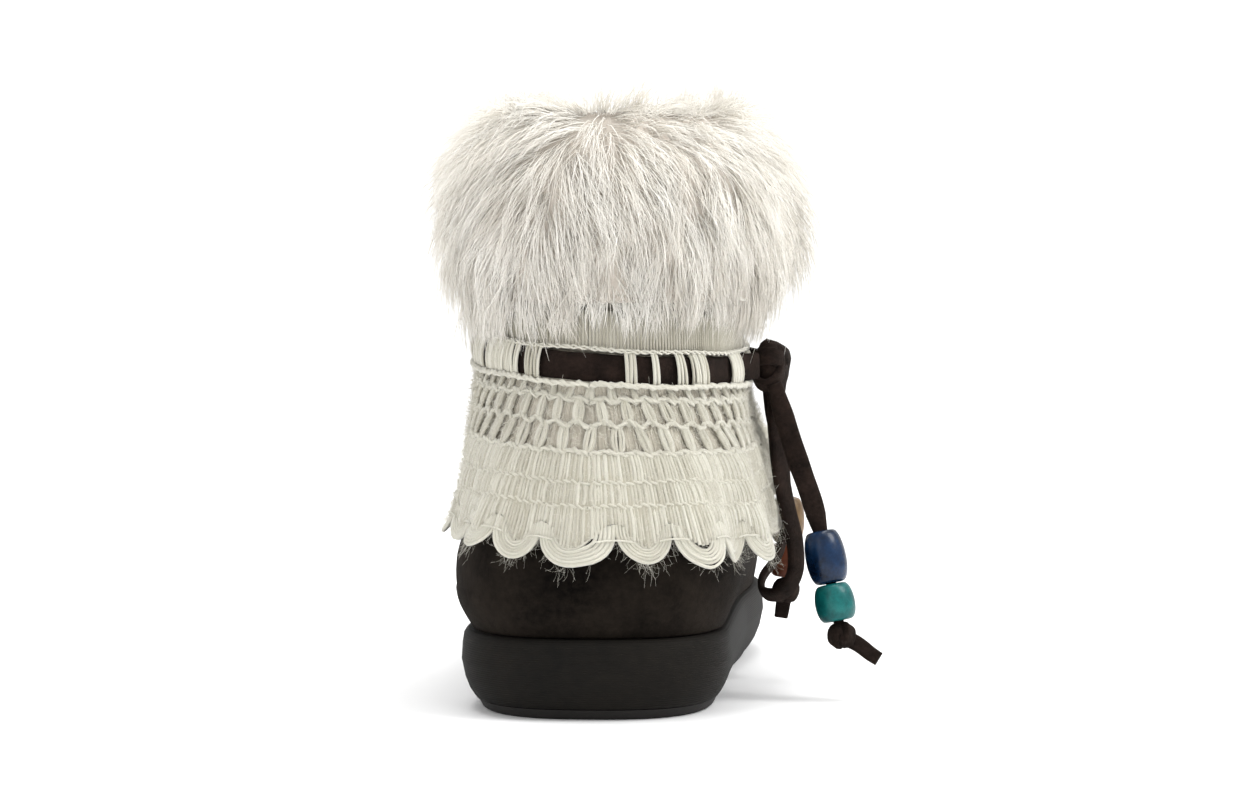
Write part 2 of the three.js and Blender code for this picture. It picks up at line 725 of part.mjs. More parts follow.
function turnTo(geometry, way) {
  const up = new THREE.Vector3(0, 1, 0);
  geometry.applyQuaternion(new THREE.Quaternion().setFromUnitVectors(up, way.clone().normalize()));
}

function endKnotShape(centre, way, tail) {
  const lump = new THREE.DodecahedronGeometry(endKnot.radius, 0);
  lump.scale(0.95, 0.85, 0.85);
  turnTo(lump, way);
  lump.translate(centre.x, centre.y, centre.z);
  const from = centre.clone().addScaledVector(tail, (endKnot.radius * tailStart) / tail.length());
  const to = centre.clone().add(tail);
  const stop = (point, width) => ({ at: point.toArray(), face: [0, -1, 0.2], width, thick: tailThickness });
  const tongue = strap([stop(from, tailWidth * 1.3), stop(to, tailWidth)], strapSection);
  return geometryOf(solidOf(lump).add(solidOf(tongue)));
}

// Assembly

const suede = { color: 0x2b221d, roughness: 0.95, metalness: 0 };
const finishes = {
  sole: { color: 0x2d2926, roughness: 0.85, metalness: 0 },
  tread: { color: 0x1d1a18, roughness: 0.9, metalness: 0 },
  insole: { color: 0xcfc8ba, roughness: 1, metalness: 0 },
  upper: suede,
  shaft: { color: 0xb9b1a2, roughness: 0.95, metalness: 0 },
  crochet: { color: 0xe9e6da, roughness: 1, metalness: 0 },
  fur: { color: 0xe6e1d6, roughness: 1, metalness: 0 },
  lace: { color: 0x2a1f1b, roughness: 0.95, metalness: 0 },
  blue: { color: 0x1c4a78, roughness: 0.25, metalness: 0 },
  teal: { color: 0x1f8587, roughness: 0.25, metalness: 0 },
  tan: { color: 0x9c7a4c, roughness: 0.4, metalness: 0 },
  copper: { color: 0x8c4a33, roughness: 0.4, metalness: 0 },
};

const boot = new THREE.Group();

function add(name, geometry, finish) {
  const mesh = new THREE.Mesh(geometry, new THREE.MeshStandardMaterial(finish));
  mesh.name = name;
  boot.add(mesh);
}

add("sole", sole(), finishes.sole);
add("tread", tread(), finishes.tread);
add("insole", insole(), finishes.insole);
add("upper", upper(), finishes.upper);
add("shaft", shaft(), finishes.shaft);
add("crochet_band", crochetBand(), finishes.crochet);
add("fur_cuff", furCuff(), finishes.fur);
add("lace_band", laceBand(), finishes.lace);
add("lace_knot", laceKnot(), finishes.lace);

for (const [name, { steps, stops }] of Object.entries(strands)) {
  add(name, strap(smoothStops(stops, steps), strapSection), finishes.lace);
}

for (const [side, end] of Object.entries(ends)) {
  const stops = strands[`end_${side}`].stops;
  const place = new THREE.Vector3(...stops[stops.length - 1].at);
  const way = new THREE.Vector3(...end.way).normalize();
  for (const bead of end.beads) {
    const half = beads[bead].length / 2;
    const shape = beadShape(beads[bead]);
    turnTo(shape, way);
    place.addScaledVector(way, beadGap + half);
    shape.translate(place.x, place.y, place.z);
    place.addScaledVector(way, half);
    add(`bead_${bead}`, shape, finishes[bead]);
  }
  place.addScaledVector(way, beadGap + endKnot.length / 2);
  add(`end_knot_${side}`, endKnotShape(place, way, new THREE.Vector3(...end.tail)), finishes.lace);
}

export default boot;
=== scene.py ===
import json
import math

import bpy
import numpy as np
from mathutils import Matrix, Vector

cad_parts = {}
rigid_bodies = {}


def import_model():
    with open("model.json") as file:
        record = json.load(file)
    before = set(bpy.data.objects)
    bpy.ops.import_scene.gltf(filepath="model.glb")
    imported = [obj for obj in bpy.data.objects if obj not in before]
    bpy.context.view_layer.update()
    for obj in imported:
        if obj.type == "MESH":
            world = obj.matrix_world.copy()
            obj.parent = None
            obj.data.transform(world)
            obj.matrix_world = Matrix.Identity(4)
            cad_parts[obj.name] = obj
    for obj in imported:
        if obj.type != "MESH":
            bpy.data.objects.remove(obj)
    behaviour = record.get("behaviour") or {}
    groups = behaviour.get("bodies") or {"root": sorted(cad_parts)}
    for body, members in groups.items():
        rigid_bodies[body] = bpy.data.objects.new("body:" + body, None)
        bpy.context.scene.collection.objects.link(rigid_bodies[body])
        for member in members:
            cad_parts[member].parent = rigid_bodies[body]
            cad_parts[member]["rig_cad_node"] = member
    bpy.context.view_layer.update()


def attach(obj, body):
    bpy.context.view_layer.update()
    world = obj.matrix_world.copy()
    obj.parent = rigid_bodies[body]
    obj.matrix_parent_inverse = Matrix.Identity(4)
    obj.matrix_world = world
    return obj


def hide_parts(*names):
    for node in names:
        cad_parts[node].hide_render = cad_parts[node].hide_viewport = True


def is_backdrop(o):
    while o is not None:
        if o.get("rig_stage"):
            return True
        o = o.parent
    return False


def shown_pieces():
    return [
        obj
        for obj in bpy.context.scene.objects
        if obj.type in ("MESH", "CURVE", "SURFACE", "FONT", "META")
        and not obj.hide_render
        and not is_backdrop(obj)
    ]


print("boot: loading the frame")
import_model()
scene = bpy.context.scene
mm = 0.001  # shapes are given in millimetres, and meshes are made in metres
tau = 2 * math.pi


# camera: it looks at the heel from a little to the outer side

cameraSetup = {
    "at": (65.2, -1130.3, 149.1),
    "towards": (7.0, 30.0, 91.0),
    "lens": 108.0, "sensor": 36.0, "near": 0.05, "far": 20.0,
}


def placed(name, data):
    made = bpy.data.objects.new(name, data)
    scene.collection.objects.link(made)
    return made


def aim(holder, at, towards, scale=1.0):
    at, towards = Vector(at), Vector(towards)
    holder.location = at * scale
    holder.rotation_euler = ((towards - at) * scale).to_track_quat("-Z", "Y").to_euler()


camera = placed("camera", bpy.data.cameras.new("camera"))
aim(camera, cameraSetup["at"], cameraSetup["towards"], mm)
camera.data.lens = cameraSetup["lens"]
camera.data.sensor_width = cameraSetup["sensor"]
camera.data.clip_start = cameraSetup["near"]
camera.data.clip_end = cameraSetup["far"]
scene.camera = camera


# node trees: a socket takes a constant, or another node's output

def feed(tree, made, inputs):
    for key, value in inputs.items():
        if isinstance(value, bpy.types.NodeSocket):
            tree.links.new(value, made.inputs[key])
        else:
            made.inputs[key].default_value = value


def node(tree, kind, inputs=None, **settings):
    made = tree.nodes.new(kind)
    for key, value in settings.items():
        setattr(made, key, value)
    feed(tree, made, inputs or {})
    return made


def newGroup(name, kind, inputs, outputs):
    tree = bpy.data.node_groups.new(name, kind)
    for way, sockets in (("INPUT", inputs), ("OUTPUT", outputs)):
        for label, sort in sockets.items():
            tree.interface.new_socket(label, in_out=way, socket_type="NodeSocket" + sort)
    return tree, tree.nodes.new("NodeGroupInput").outputs


# meshes: rings of points, and lines that are turned into yarn, hair or thread

def meshPiece(name, points, faces, materials, faceSlots=None, uv=None):
    mesh = bpy.data.meshes.new(name)
    mesh.from_pydata((np.asarray(points, float) * mm).tolist(), [], faces)
    for material in materials:
        mesh.materials.append(material)
    mesh.polygons.foreach_set("use_smooth", [True] * len(mesh.polygons))
    if faceSlots is not None:
        mesh.polygons.foreach_set("material_index", faceSlots)
    if uv is not None:
        layer = mesh.uv_layers.new(name="surface")
        corners = np.empty(len(mesh.loops), int)
        mesh.loops.foreach_get("vertex_index", corners)
        layer.data.foreach_set("uv", np.asarray(uv, float)[corners].ravel())
    mesh.update()
    return placed(name, mesh)


def makePlain(piece):
    # what the piece's modifier gives becomes its own mesh
    bpy.context.view_layer.update()
    evaluated = piece.evaluated_get(bpy.context.evaluated_depsgraph_get())
    made = bpy.data.meshes.new_from_object(evaluated)
    piece.modifiers.clear()
    piece.data = made
    made.name = piece.name


def settle(piece, slotName, *nodes):
    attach(piece, "root")
    if nodes:
        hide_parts(*nodes)
    return piece


def ringFaces(rings, count, joined=False):
    # quads between rings of count points; counter-clockwise rings that rise face outwards
    faces = []
    for r in range(rings if joined else rings - 1):
        low, high = r * count, ((r + 1) % rings) * count
        for i in range(count):
            j = (i + 1) % count
            faces.append((low + i, low + j, high + j, high + i))
    return faces


def shifted(faces, start):
    return [tuple(start + v for v in face) for face in faces]


def tubeFaces(rings, count):
    # quads between the rings, and a face at either end
    last = (rings - 1) * count
    return ringFaces(rings, count) + [tuple(range(count))[::-1], tuple(range(last, last + count))]


def strandTree():
    # lines of a mesh become round strands: inputs are the lines, the sides and the finish
    inputs = {"Lines": "Geometry", "Sides": "Int", "Finish": "Material"}
    tree, come = newGroup("strandsToYarn", "GeometryNodeTree", inputs, {"Yarn": "Geometry"})
    thick = node(tree, "GeometryNodeInputNamedAttribute", {"Name": "thick"}, data_type="FLOAT")
    ring = node(tree, "GeometryNodeCurvePrimitiveCircle", {"Resolution": come["Sides"], "Radius": 1.0})
    curve = node(tree, "GeometryNodeMeshToCurve", {"Mesh": come["Lines"]})
    tube = node(tree, "GeometryNodeCurveToMesh", {
        "Curve": curve.outputs[0], "Profile Curve": ring.outputs[0], "Scale": thick.outputs["Attribute"],
    })
    smooth = node(tree, "GeometryNodeSetShadeSmooth", {"Geometry": tube.outputs[0]})
    realize = node(tree, "GeometryNodeRealizeInstances", {"Geometry": smooth.outputs[0]})
    finishInputs = {"Geometry": realize.outputs[0], "Material": come["Finish"]}
    finish = node(tree, "GeometryNodeSetMaterial", finishInputs)
    node(tree, "NodeGroupOutput", {"Yarn": finish.outputs[0]})
    return tree


yarnMaker = strandTree()
yarnSockets = {item.name: item.identifier for item in yarnMaker.interface.items_tree}


def strandPiece(name, paths, radii, material, sides, tints):
    # paths is a list of point arrays, radii a number or an array for each, tints one number each
    points = np.concatenate(paths) * mm
    values = {
        "thick": np.concatenate([np.broadcast_to(r, len(p)) for r, p in zip(radii, paths)]) * mm,
        "reach": np.concatenate([np.linspace(0, 1, len(p)) for p in paths]),
        "tint": np.concatenate([np.full(len(p), t) for t, p in zip(tints, paths)]),
    }
    last = np.cumsum([len(p) for p in paths]) - 1
    first = np.delete(np.arange(len(points)), last)
    edges = np.stack([first, first + 1], 1)
    mesh = bpy.data.meshes.new(name)
    mesh.vertices.add(len(points))
    mesh.vertices.foreach_set("co", points.ravel())
    mesh.edges.add(len(edges))
    mesh.edges.foreach_set("vertices", edges.ravel())
    for label, numbers in values.items():
        mesh.attributes.new(label, "FLOAT", "POINT").data.foreach_set("value", numbers)
    mesh.update()
    piece = placed(name, mesh)
    modifier = piece.modifiers.new("yarn", "NODES")
    modifier.node_group = yarnMaker
    modifier[yarnSockets["Sides"]] = sides
    modifier[yarnSockets["Finish"]] = material
    makePlain(piece)
    print("  ", name, len(piece.data.polygons) * 2, "triangles")
    return piece


# finishes: small shared shader groups, and one material for each surface

def newMaterial(name):
    material = bpy.data.materials.new(name)
    material.use_nodes = True
    return material, material.node_tree, material.node_tree.nodes["Principled BSDF"]


def colourOf(colour):
    # the eye's 0-255 numbers to the renderer's linear ones
    shares = [v / 255 for v in colour]
    return (*(v / 12.92 if v <= 0.04045 else ((v + 0.055) / 1.055) ** 2.4 for v in shares), 1.0)


def maths(tree, operation, *values):
    return node(tree, "ShaderNodeMath", dict(enumerate(values)), operation=operation).outputs[0]


def mixed(tree, first, second, factor, blend="MIX"):
    inputs = {"Factor": factor, 6: first, 7: second}  # 6 and 7 are the two colours
    return node(tree, "ShaderNodeMix", inputs, data_type="RGBA", blend_type=blend).outputs[2]


def noiseOf(tree, scale, detail, roughness=0.5):
    place = tree.nodes.new("ShaderNodeTexCoord").outputs["Object"]
    inputs = {"Vector": place, "Scale": scale, "Detail": detail, "Roughness": roughness}
    return node(tree, "ShaderNodeTexNoise", inputs).outputs["Fac"]


def bump(tree, height, strength, distance, under=None):
    inputs = {"Height": height, "Strength": strength, "Distance": distance}
    if under is not None:
        inputs["Normal"] = under
    return node(tree, "ShaderNodeBump", inputs).outputs["Normal"]


def mottleGroup():
    # two colours mixed by broad and fine noise, for suede, rubber, wood and cloth
    inputs = {"Dark": "Color", "Light": "Color", "Broad": "Float", "Fine": "Float", "Balance": "Float"}
    tree, come = newGroup("mottle", "ShaderNodeTree", inputs, {"Colour": "Color", "Height": "Float"})
    broad = noiseOf(tree, come["Broad"], 3.0)
    fine = noiseOf(tree, come["Fine"], 6.0, 0.7)
    both = maths(tree, "MULTIPLY_ADD", fine, 0.45, maths(tree, "MULTIPLY", broad, 0.55))
    spread = node(tree, "ShaderNodeMapRange", {"Value": both, "From Min": 0.36, "From Max": 0.64})
    share = maths(tree, "MULTIPLY", spread.outputs["Result"], come["Balance"])
    node(tree, "NodeGroupOutput", {"Colour": mixed(tree, come["Dark"], come["Light"], share), "Height": fine})
    return tree


def ribGroup():
    # even ridges across the surface's own coordinates, for rib, tape and moulded lines
    inputs = dict.fromkeys(("Across", "Along", "Roughen"), "Float")
    tree, come = newGroup("ridges", "ShaderNodeTree", inputs, {"Height": "Float"})
    place = node(tree, "ShaderNodeUVMap", uv_map="surface")
    split = node(tree, "ShaderNodeSeparateXYZ", {0: place.outputs["UV"]})
    total = maths(tree, "MULTIPLY", noiseOf(tree, 420.0, 2.0), come["Roughen"])
    for axis, label in enumerate(("Across", "Along")):
        total = maths(tree, "MULTIPLY_ADD", split.outputs[axis], come[label], total)
    node(tree, "NodeGroupOutput", {"Height": maths(tree, "SINE", total)})
    return tree


mottle = mottleGroup()
ridges = ribGroup()


def toneOf(tree, look):
    inputs = {
        "Dark": colourOf(look["dark"]), "Light": colourOf(look["light"]), "Broad": look["broad"],
        "Fine": look["fine"], "Balance": look.get("balance", 1.0),
    }
    made = node(tree, "ShaderNodeGroup", inputs, node_tree=mottle)
    return made.outputs["Colour"], made.outputs["Height"]


def suedeMaterial(name, look):
    material, tree, shader = newMaterial(name)
    colour, height = toneOf(tree, look)
    nap = bump(tree, noiseOf(tree, look["nap"], 4.0, 0.8), look["napDepth"], 0.0004)
    feed(tree, shader, {
        "Base Color": colour, "Normal": bump(tree, height, look["unevenness"], 0.0012, nap),
        "Roughness": 0.95, "Specular IOR Level": 0.06, "Sheen Weight": look["sheen"],
        "Sheen Roughness": 0.55, "Sheen Tint": (0.75, 0.62, 0.54, 1),
    })
    return material


def ribbedMaterial(name, look):
    # the distances from ridge to ridge are in millimetres
    material, tree, shader = newMaterial(name)
    colour, height = toneOf(tree, look)
    normal = bump(tree, height, look["grain"], 0.0006)
    if "ribDepth" in look:
        rib = node(tree, "ShaderNodeGroup", {}, node_tree=ridges)
        for label, key in (("Across", "pitchAcross"), ("Along", "pitchAlong")):
            rib.inputs[label].default_value = tau / (look[key] * mm) if key in look else 0.0
        rib.inputs["Roughen"].default_value = look["roughen"]
        normal = bump(tree, rib.outputs["Height"], look["ribDepth"], 0.0004, normal)
    feed(tree, shader, {"Base Color": colour, "Normal": normal, "Roughness": look["roughness"],
                        "Specular IOR Level": look["gloss"]})
    return material


def strandMaterial(name, look):
    # hair and yarn: each strand has its own tone, and may be painted darker towards the root, a painted shade
    # for the shade deep in the pile
    material, tree, shader = newMaterial(name)
    tint = node(tree, "ShaderNodeAttribute", attribute_name="tint").outputs["Fac"]
    reach = node(tree, "ShaderNodeAttribute", attribute_name="reach").outputs["Fac"]
    colour = mixed(tree, colourOf(look["dark"]), colourOf(look["light"]), tint)
    # painted shade: the colour is darkened towards each strand's root, where the pile shades it
    if "paintedRootShade" in look:
        inputs = {"Value": reach, "From Max": look["rootReach"], "To Min": look["paintedRootShade"]}
        shade = node(tree, "ShaderNodeMapRange", inputs).outputs["Result"]
        colour = mixed(tree, colour, shade, 1.0, "MULTIPLY")
    if "fuzz" in look:
        fluff = noiseOf(tree, look["fuzzScale"], 5.0, 0.75)
        feed(tree, shader, {"Normal": bump(tree, fluff, look["fuzz"], 0.0005)})
    feed(tree, shader, {"Base Color": colour, "Roughness": look["roughness"], "Specular IOR Level": 0.25,
                        "Sheen Weight": look["sheen"], "Sheen Roughness": 0.4})
    return material


def beadMaterial(name, look):
    material, tree, shader = newMaterial(name)
    colour, height = toneOf(tree, look)
    feed(tree, shader, {
        "Base Color": colour, "Normal": bump(tree, height, look["uneven"], 0.0008),
        "Roughness": look["roughness"], "Specular IOR Level": look["gloss"],
        "Coat Weight": look["coat"], "Coat Roughness": look["coatRoughness"],
    })
    return material


print("boot: finishes")
finishes = {
    "suede": suedeMaterial("darkSuede", {
        "dark": (5, 4, 3), "light": (35, 30, 25), "broad": 55.0, "fine": 420.0, "balance": 0.85,
        "nap": 2600.0, "napDepth": 0.5, "unevenness": 0.3, "sheen": 0.03,
    }),
    "lace": suedeMaterial("laceSuede", {
        "dark": (16, 11, 9), "light": (52, 40, 35), "broad": 160.0, "fine": 900.0, "balance": 0.7,
        "nap": 3600.0, "napDepth": 0.6, "unevenness": 0.4, "sheen": 0.05,
    }),
    "shaft": suedeMaterial("paleShaftLeather", {
        "dark": (168, 161, 147), "light": (196, 190, 177), "broad": 60.0, "fine": 700.0, "balance": 0.8,
        "nap": 3000.0, "napDepth": 0.5, "unevenness": 0.3, "sheen": 0.1,
    }),
    "fleece": suedeMaterial("fleeceLining", {
        "dark": (186, 178, 163), "light": (222, 216, 204), "broad": 140.0, "fine": 1100.0, "balance": 0.9,
        "nap": 1500.0, "napDepth": 0.9, "unevenness": 0.9, "sheen": 0.2,
    }),
    "tape": ribbedMaterial("wovenTape", {
        "dark": (172, 165, 149), "light": (200, 194, 180), "broad": 90.0, "fine": 900.0, "grain": 0.35,
        "pitchAcross": 0.98, "roughen": 1.6, "ribDepth": 0.8, "roughness": 0.9, "gloss": 0.2,
    }),
    "backing": ribbedMaterial("skirtBacking", {
        "dark": (186, 179, 164), "light": (210, 204, 190), "broad": 120.0, "fine": 1200.0, "grain": 0.5,
        "pitchAcross": 0.8, "roughen": 2.4, "ribDepth": 0.5, "roughness": 0.95, "gloss": 0.15,
    }),
    "sole": ribbedMaterial("mouldedSoleRubber", {
        "dark": (12, 11, 9), "light": (24, 21, 17), "broad": 22.0, "fine": 260.0, "grain": 0.12,
        "pitchAlong": 0.66, "roughen": 0.3, "ribDepth": 0.2, "roughness": 0.7, "gloss": 0.12,
    }),
    "tread": ribbedMaterial("treadRubber", {
        "dark": (20, 18, 17), "light": (31, 28, 26), "broad": 30.0, "fine": 400.0, "grain": 0.2,
        "roughness": 0.75, "gloss": 0.35,
    }),
    "yarn": strandMaterial("mohairYarn", {
        "dark": (186, 181, 164), "light": (222, 219, 205), "fuzz": 0.9, "fuzzScale": 1900.0,
        "roughness": 0.9, "sheen": 0.6,
    }),
    "mohair": strandMaterial("mohairFuzz", {
        "dark": (200, 196, 182), "light": (230, 227, 216), "roughness": 0.7, "sheen": 0.2,
    }),
    # fur hair: painted shade darkens each hair towards its root
    "fur": strandMaterial("furHair", {
        "dark": (230, 224, 213), "light": (252, 250, 244), "rootReach": 0.5, "paintedRootShade": 0.92,
        "roughness": 0.62, "sheen": 0.25,
    }),
    "roll": strandMaterial("furUnderWool", {
        "dark": (206, 198, 188), "light": (226, 220, 211), "fuzz": 0.9, "fuzzScale": 500.0,
        "roughness": 0.9, "sheen": 0.2,
    }),
    "blue": beadMaterial("blueGlaze", {
        "dark": (2, 14, 32), "light": (12, 44, 78), "broad": 90.0, "fine": 500.0, "uneven": 0.25,
        "roughness": 0.26, "gloss": 0.22, "coat": 0.2, "coatRoughness": 0.06,
    }),
    "teal": beadMaterial("tealGlaze", {
        "dark": (2, 56, 60), "light": (14, 106, 103), "broad": 110.0, "fine": 500.0, "uneven": 0.3,
        "roughness": 0.34, "gloss": 0.2, "coat": 0.2, "coatRoughness": 0.12,
    }),
    "tan": beadMaterial("tanHorn", {
        "dark": (70, 52, 32), "light": (134, 106, 70), "broad": 60.0, "fine": 300.0, "uneven": 0.35,
        "roughness": 0.45, "gloss": 0.3, "coat": 0.15, "coatRoughness": 0.25,
    }),
    "copper": beadMaterial("copperHorn", {
        "dark": (58, 26, 14), "light": (116, 60, 34), "broad": 70.0, "fine": 300.0, "uneven": 0.35,
        "roughness": 0.42, "gloss": 0.3, "coat": 0.15, "coatRoughness": 0.25,
    }),
}


# the boot's own surface: turn runs from 0 at the back over the outer side, a half at the front

bootForm = {
    "soleBack": -42.0, "soleFront": 226.0, "ballOuter": 48.5, "ballInner": 47.0,
    "soleHeelEnd": 46.0, "soleToeEnd": 78.0, "toeSpring": 8.0, "toeSpringStart": 168.0,
    "heelSquareness": 2.7, "toeSquareness": 2.15, "shaftSquareness": 2.1,
    "upperWall": 2.6, "shaftWall": 2.2, "joinLevel": 5.2, "collarLevel": 9.0, "collarLevelHeight": 15.6,
}
stations = np.array([  # along, outer, inner, bend
    (0.0, 0.83, 0.86, 0), (0.2, 0.85, 0.86, 0), (0.45, 0.89, 0.76, 0.5),
    (0.68, 1.0, 0.98, 0), (0.85, 0.98, 0.98, -4), (1.0, 0.9, 0.86, -10),
])
levels = np.array([  # backY, backZ, frontY, frontZ, outer, inner, heelEnd, toeEnd, foot, lift
    (-37.5, 24.3, 220.5, 24.3, 45.2, 43.5, 46, 76, 1, 1),
    (-40.5, 33, 224, 37, 47, 46.9, 48, 80, 0.75, 0.8),
    (-41.2, 45, 213, 51, 46.6, 45.6, 50, 86, 0.5, 0.4),
    (-40, 58, 186, 62, 45.4, 40.6, 52, 92, 0.4, 0.1),
    (-37.5, 72, 152, 73.5, 44, 38.4, 54, 88, 0.3, 0),
    (-34.8, 86, 120, 88, 42.4, 36.6, 56, 76, 0.15, 0),
    (-32.8, 100, 98, 104, 41, 34.8, 57, 64, 0, 0),
    (-31.8, 117, 88, 120.5, 41, 33.8, 57, 60, 0, 0),
    (-31.6, 134, 85, 136, 42, 34.4, 57, 58, 0, 0),
    (-32, 150, 84, 150, 43, 35, 57, 58, 0, 0),
])


def smoothColumn(rows, column, place):
    values = rows[:, column]
    last = len(values) - 1
    k = np.clip(np.floor(place), 0, last - 1).astype(int)
    f = place - k
    a, b, c, d = (values[np.clip(k + step, 0, last)] for step in (-1, 0, 1, 2))
    slopeB, slopeC = (c - a) / 2, (d - b) / 2
    f2, f3 = f * f, f * f * f
    return ((2 * f3 - 3 * f2 + 1) * b + (f3 - 2 * f2 + f) * slopeB
            + (3 * f2 - 2 * f3) * c + (f3 - f2) * slopeC)


def roundedEnd(share, squareness):
    return (1 - (1 - np.clip(share, 0, 1)) ** squareness) ** (1 / squareness)


def toeLift(y):
    start = bootForm["toeSpringStart"]
    share = np.clip((y - start) / (bootForm["soleFront"] - start), 0, 1)
    return bootForm["toeSpring"] * share * share


def loopPoint(loop, turn):
    backY, backZ, frontY, frontZ, outer, inner, heelEnd, toeEnd, foot, lift = loop
    angle = tau * np.asarray(turn, float)
    along = (1 - np.cos(angle)) / 2
    outerSide = np.sin(angle) >= 0
    place = np.interp(along, stations[:, 0], np.arange(len(stations)))
    share = np.where(outerSide, smoothColumn(stations, 1, place), smoothColumn(stations, 2, place))
    share = 1 + (share - 1) * foot
    y = backY + (frontY - backY) * along
    shaftShape = bootForm["shaftSquareness"]
    heelShape = shaftShape + (bootForm["heelSquareness"] - shaftShape) * np.minimum(1, 2 * foot)
    ends = roundedEnd((y - backY) / heelEnd, heelShape)
    ends = ends * roundedEnd((frontY - y) / toeEnd, bootForm["toeSquareness"])
    x = np.where(outerSide, outer, -inner) * share * ends + smoothColumn(stations, 3, place) * foot
    z = backZ + (frontZ - backZ) * along + toeLift(y) * lift
    return np.stack(np.broadcast_arrays(x, y, z), -1)


def surfacePoint(turn, level):
    turn, level = np.broadcast_arrays(np.asarray(turn, float), np.asarray(level, float))
    return loopPoint([smoothColumn(levels, column, level) for column in range(10)], turn)


def unit(vectors):
    return vectors / np.maximum(np.linalg.norm(vectors, axis=-1, keepdims=True), 1e-9)


def surfaceNormal(turn, level):
    low = np.clip(np.asarray(level, float) - 0.05, 0, bootForm["collarLevel"])
    high = np.clip(np.asarray(level, float) + 0.05, 0, bootForm["collarLevel"])
    around = surfacePoint(np.asarray(turn) + 0.004, level) - surfacePoint(np.asarray(turn) - 0.004, level)
    up = surfacePoint(turn, high) - surfacePoint(turn, low)
    return unit(np.cross(around, up))


def flatNormal(turn, level):
    normal = surfaceNormal(turn, level)
    normal[..., 2] = 0
    return unit(normal)


def noiseOn(points, size, seed, octaves=3):
    # a soft repeatable noise from summed sine waves, about -1 to 1
    rng = np.random.default_rng(seed)
    total = np.zeros(points.shape[:-1])
    weight = 0
    for octave in range(octaves):
        for _ in range(5):
            way = unit(rng.normal(size=3)) * tau / (size / 1.9 ** octave)
            total += np.sin(points @ way + rng.uniform(0, tau)) * 0.55 ** octave
            weight += 0.55 ** octave
    return total / weight * 2.2


# lace: a flat strap through stops, each with the way that its broad face looks

laceForm = {  # widths and thicknesses
    "usual": (6.6, 2.0), "pinched": (4.6, 2.2), "tied": (5.6, 2.0), "band": (8.2, 2.0),
    "curl": 0.35, "uneven": 0.03,
}
bowRoutes = {  # where the lace's middle runs, and where its broad face looks
    "endNear": [
        ((53.4, 19.4, 96.6), (0.2, -1, 0)), ((56.4, 20.4, 86.5), (0.2, -1, 0)),
        ((60.6, 19, 73.5), (0.2, -1, 0)), ((64.9, 17, 61.5), (0.25, -1, 0)), ((67.6, 15, 52), (0.25, -1, 0)),
    ],
    "loopNear": [
        ((53.4, 25.4, 94), (0.75, -0.65, 0)), ((53.9, 28, 84), (0.75, -0.65, 0)),
        ((55.2, 30.5, 70), (0.75, -0.65, 0)), ((57.6, 32, 57.5), (0.75, -0.65, 0)),
        ((60, 33, 46.5), (0.75, -0.65, -0.1)), ((59.8, 34.5, 36.5), (0.6, -0.6, -0.5)),
        ((55.2, 38.5, 30), (0.1, -0.65, -0.8)), ((50, 43, 29.8), (-0.5, -0.5, -0.75)),
        ((49.2, 47, 34), (-0.9, -0.2, -0.3)), ((54.4, 49.5, 42), (-0.95, 0.2, 0)),
        ((56.4, 48.5, 54), (-0.95, 0.2, 0)), ((55.2, 46, 68), (-0.95, 0.2, 0)),
        ((53.2, 41, 80), (-0.95, 0.2, 0)), ((51.6, 35, 88), (-0.95, 0.2, 0)),
        ((50.9, 31.2, 94.2), (-0.95, 0.3, 0)),
    ],
    "loopFar": [
        ((54.1, 32.6, 107.2), (0.5, 0, 0.85)), ((55, 46, 107), (0.5, 0, 0.85)),
        ((55.4, 64, 103.4), (0.5, 0, 0.85)), ((54.4, 79, 97.6), (0.5, 0.4, 0.7)),
        ((53.6, 84.5, 92.8), (0.5, 0.85, 0)), ((53.6, 79, 90.6), (0.5, 0.3, -0.8)),
        ((54, 64, 93.5), (0.5, 0, -0.85)), ((54.6, 47, 98.6), (0.5, 0, -0.85)),
        ((54.9, 32.8, 101.4), (0.5, 0, -0.85)),
    ],
    "endFar": [
        ((53.8, 30.2, 96.8), (1, 0.1, 0)), ((55.6, 41, 91.5), (1, 0.1, 0)), ((56.3, 52, 82), (1, 0.1, 0)),
        ((56.8, 58.5, 71), (1, 0.1, 0)), ((57.2, 60.6, 64), (1, 0.1, 0)), ((57.3, 61.2, 58.8), (1, 0.1, 0)),
    ],
}
bowPieces = {  # the solid that each strap stands for, and the rings along it
    "endNear": ("end_near", 40), "loopNear": ("loop_near", 120),
    "loopFar": ("loop_far", 90), "endFar": ("end_far", 44),
}


def curveThrough(points, count):
    # a centripetal Catmull-Rom curve through the points, at evenly spaced places
    points = np.asarray(points, float)
    padded = np.vstack([2 * points[0] - points[1], points, 2 * points[-1] - points[-2]])
    gaps = np.linalg.norm(np.diff(padded, axis=0), axis=1)
    knots = np.concatenate([[0], np.cumsum(np.maximum(gaps, 1e-6) ** 0.5)])
    places = np.linspace(0, len(points) - 1, count)
    made = []
    for place in places:
        k = min(int(place), len(points) - 2)
        t0, t1, t2, t3 = knots[k:k + 4]
        t = t1 + (t2 - t1) * (place - k)
        p0, p1, p2, p3 = padded[k:k + 4]
        a1 = (t1 - t) / (t1 - t0) * p0 + (t - t0) / (t1 - t0) * p1
        a2 = (t2 - t) / (t2 - t1) * p1 + (t - t1) / (t2 - t1) * p2
        a3 = (t3 - t) / (t3 - t2) * p2 + (t - t2) / (t3 - t2) * p3
        b1 = (t2 - t) / (t2 - t0) * a1 + (t - t0) / (t2 - t0) * a2
        b2 = (t3 - t) / (t3 - t1) * a2 + (t - t1) / (t3 - t1) * a3
        made.append((t2 - t) / (t2 - t1) * b1 + (t - t1) / (t2 - t1) * b2)
    return np.array(made), places


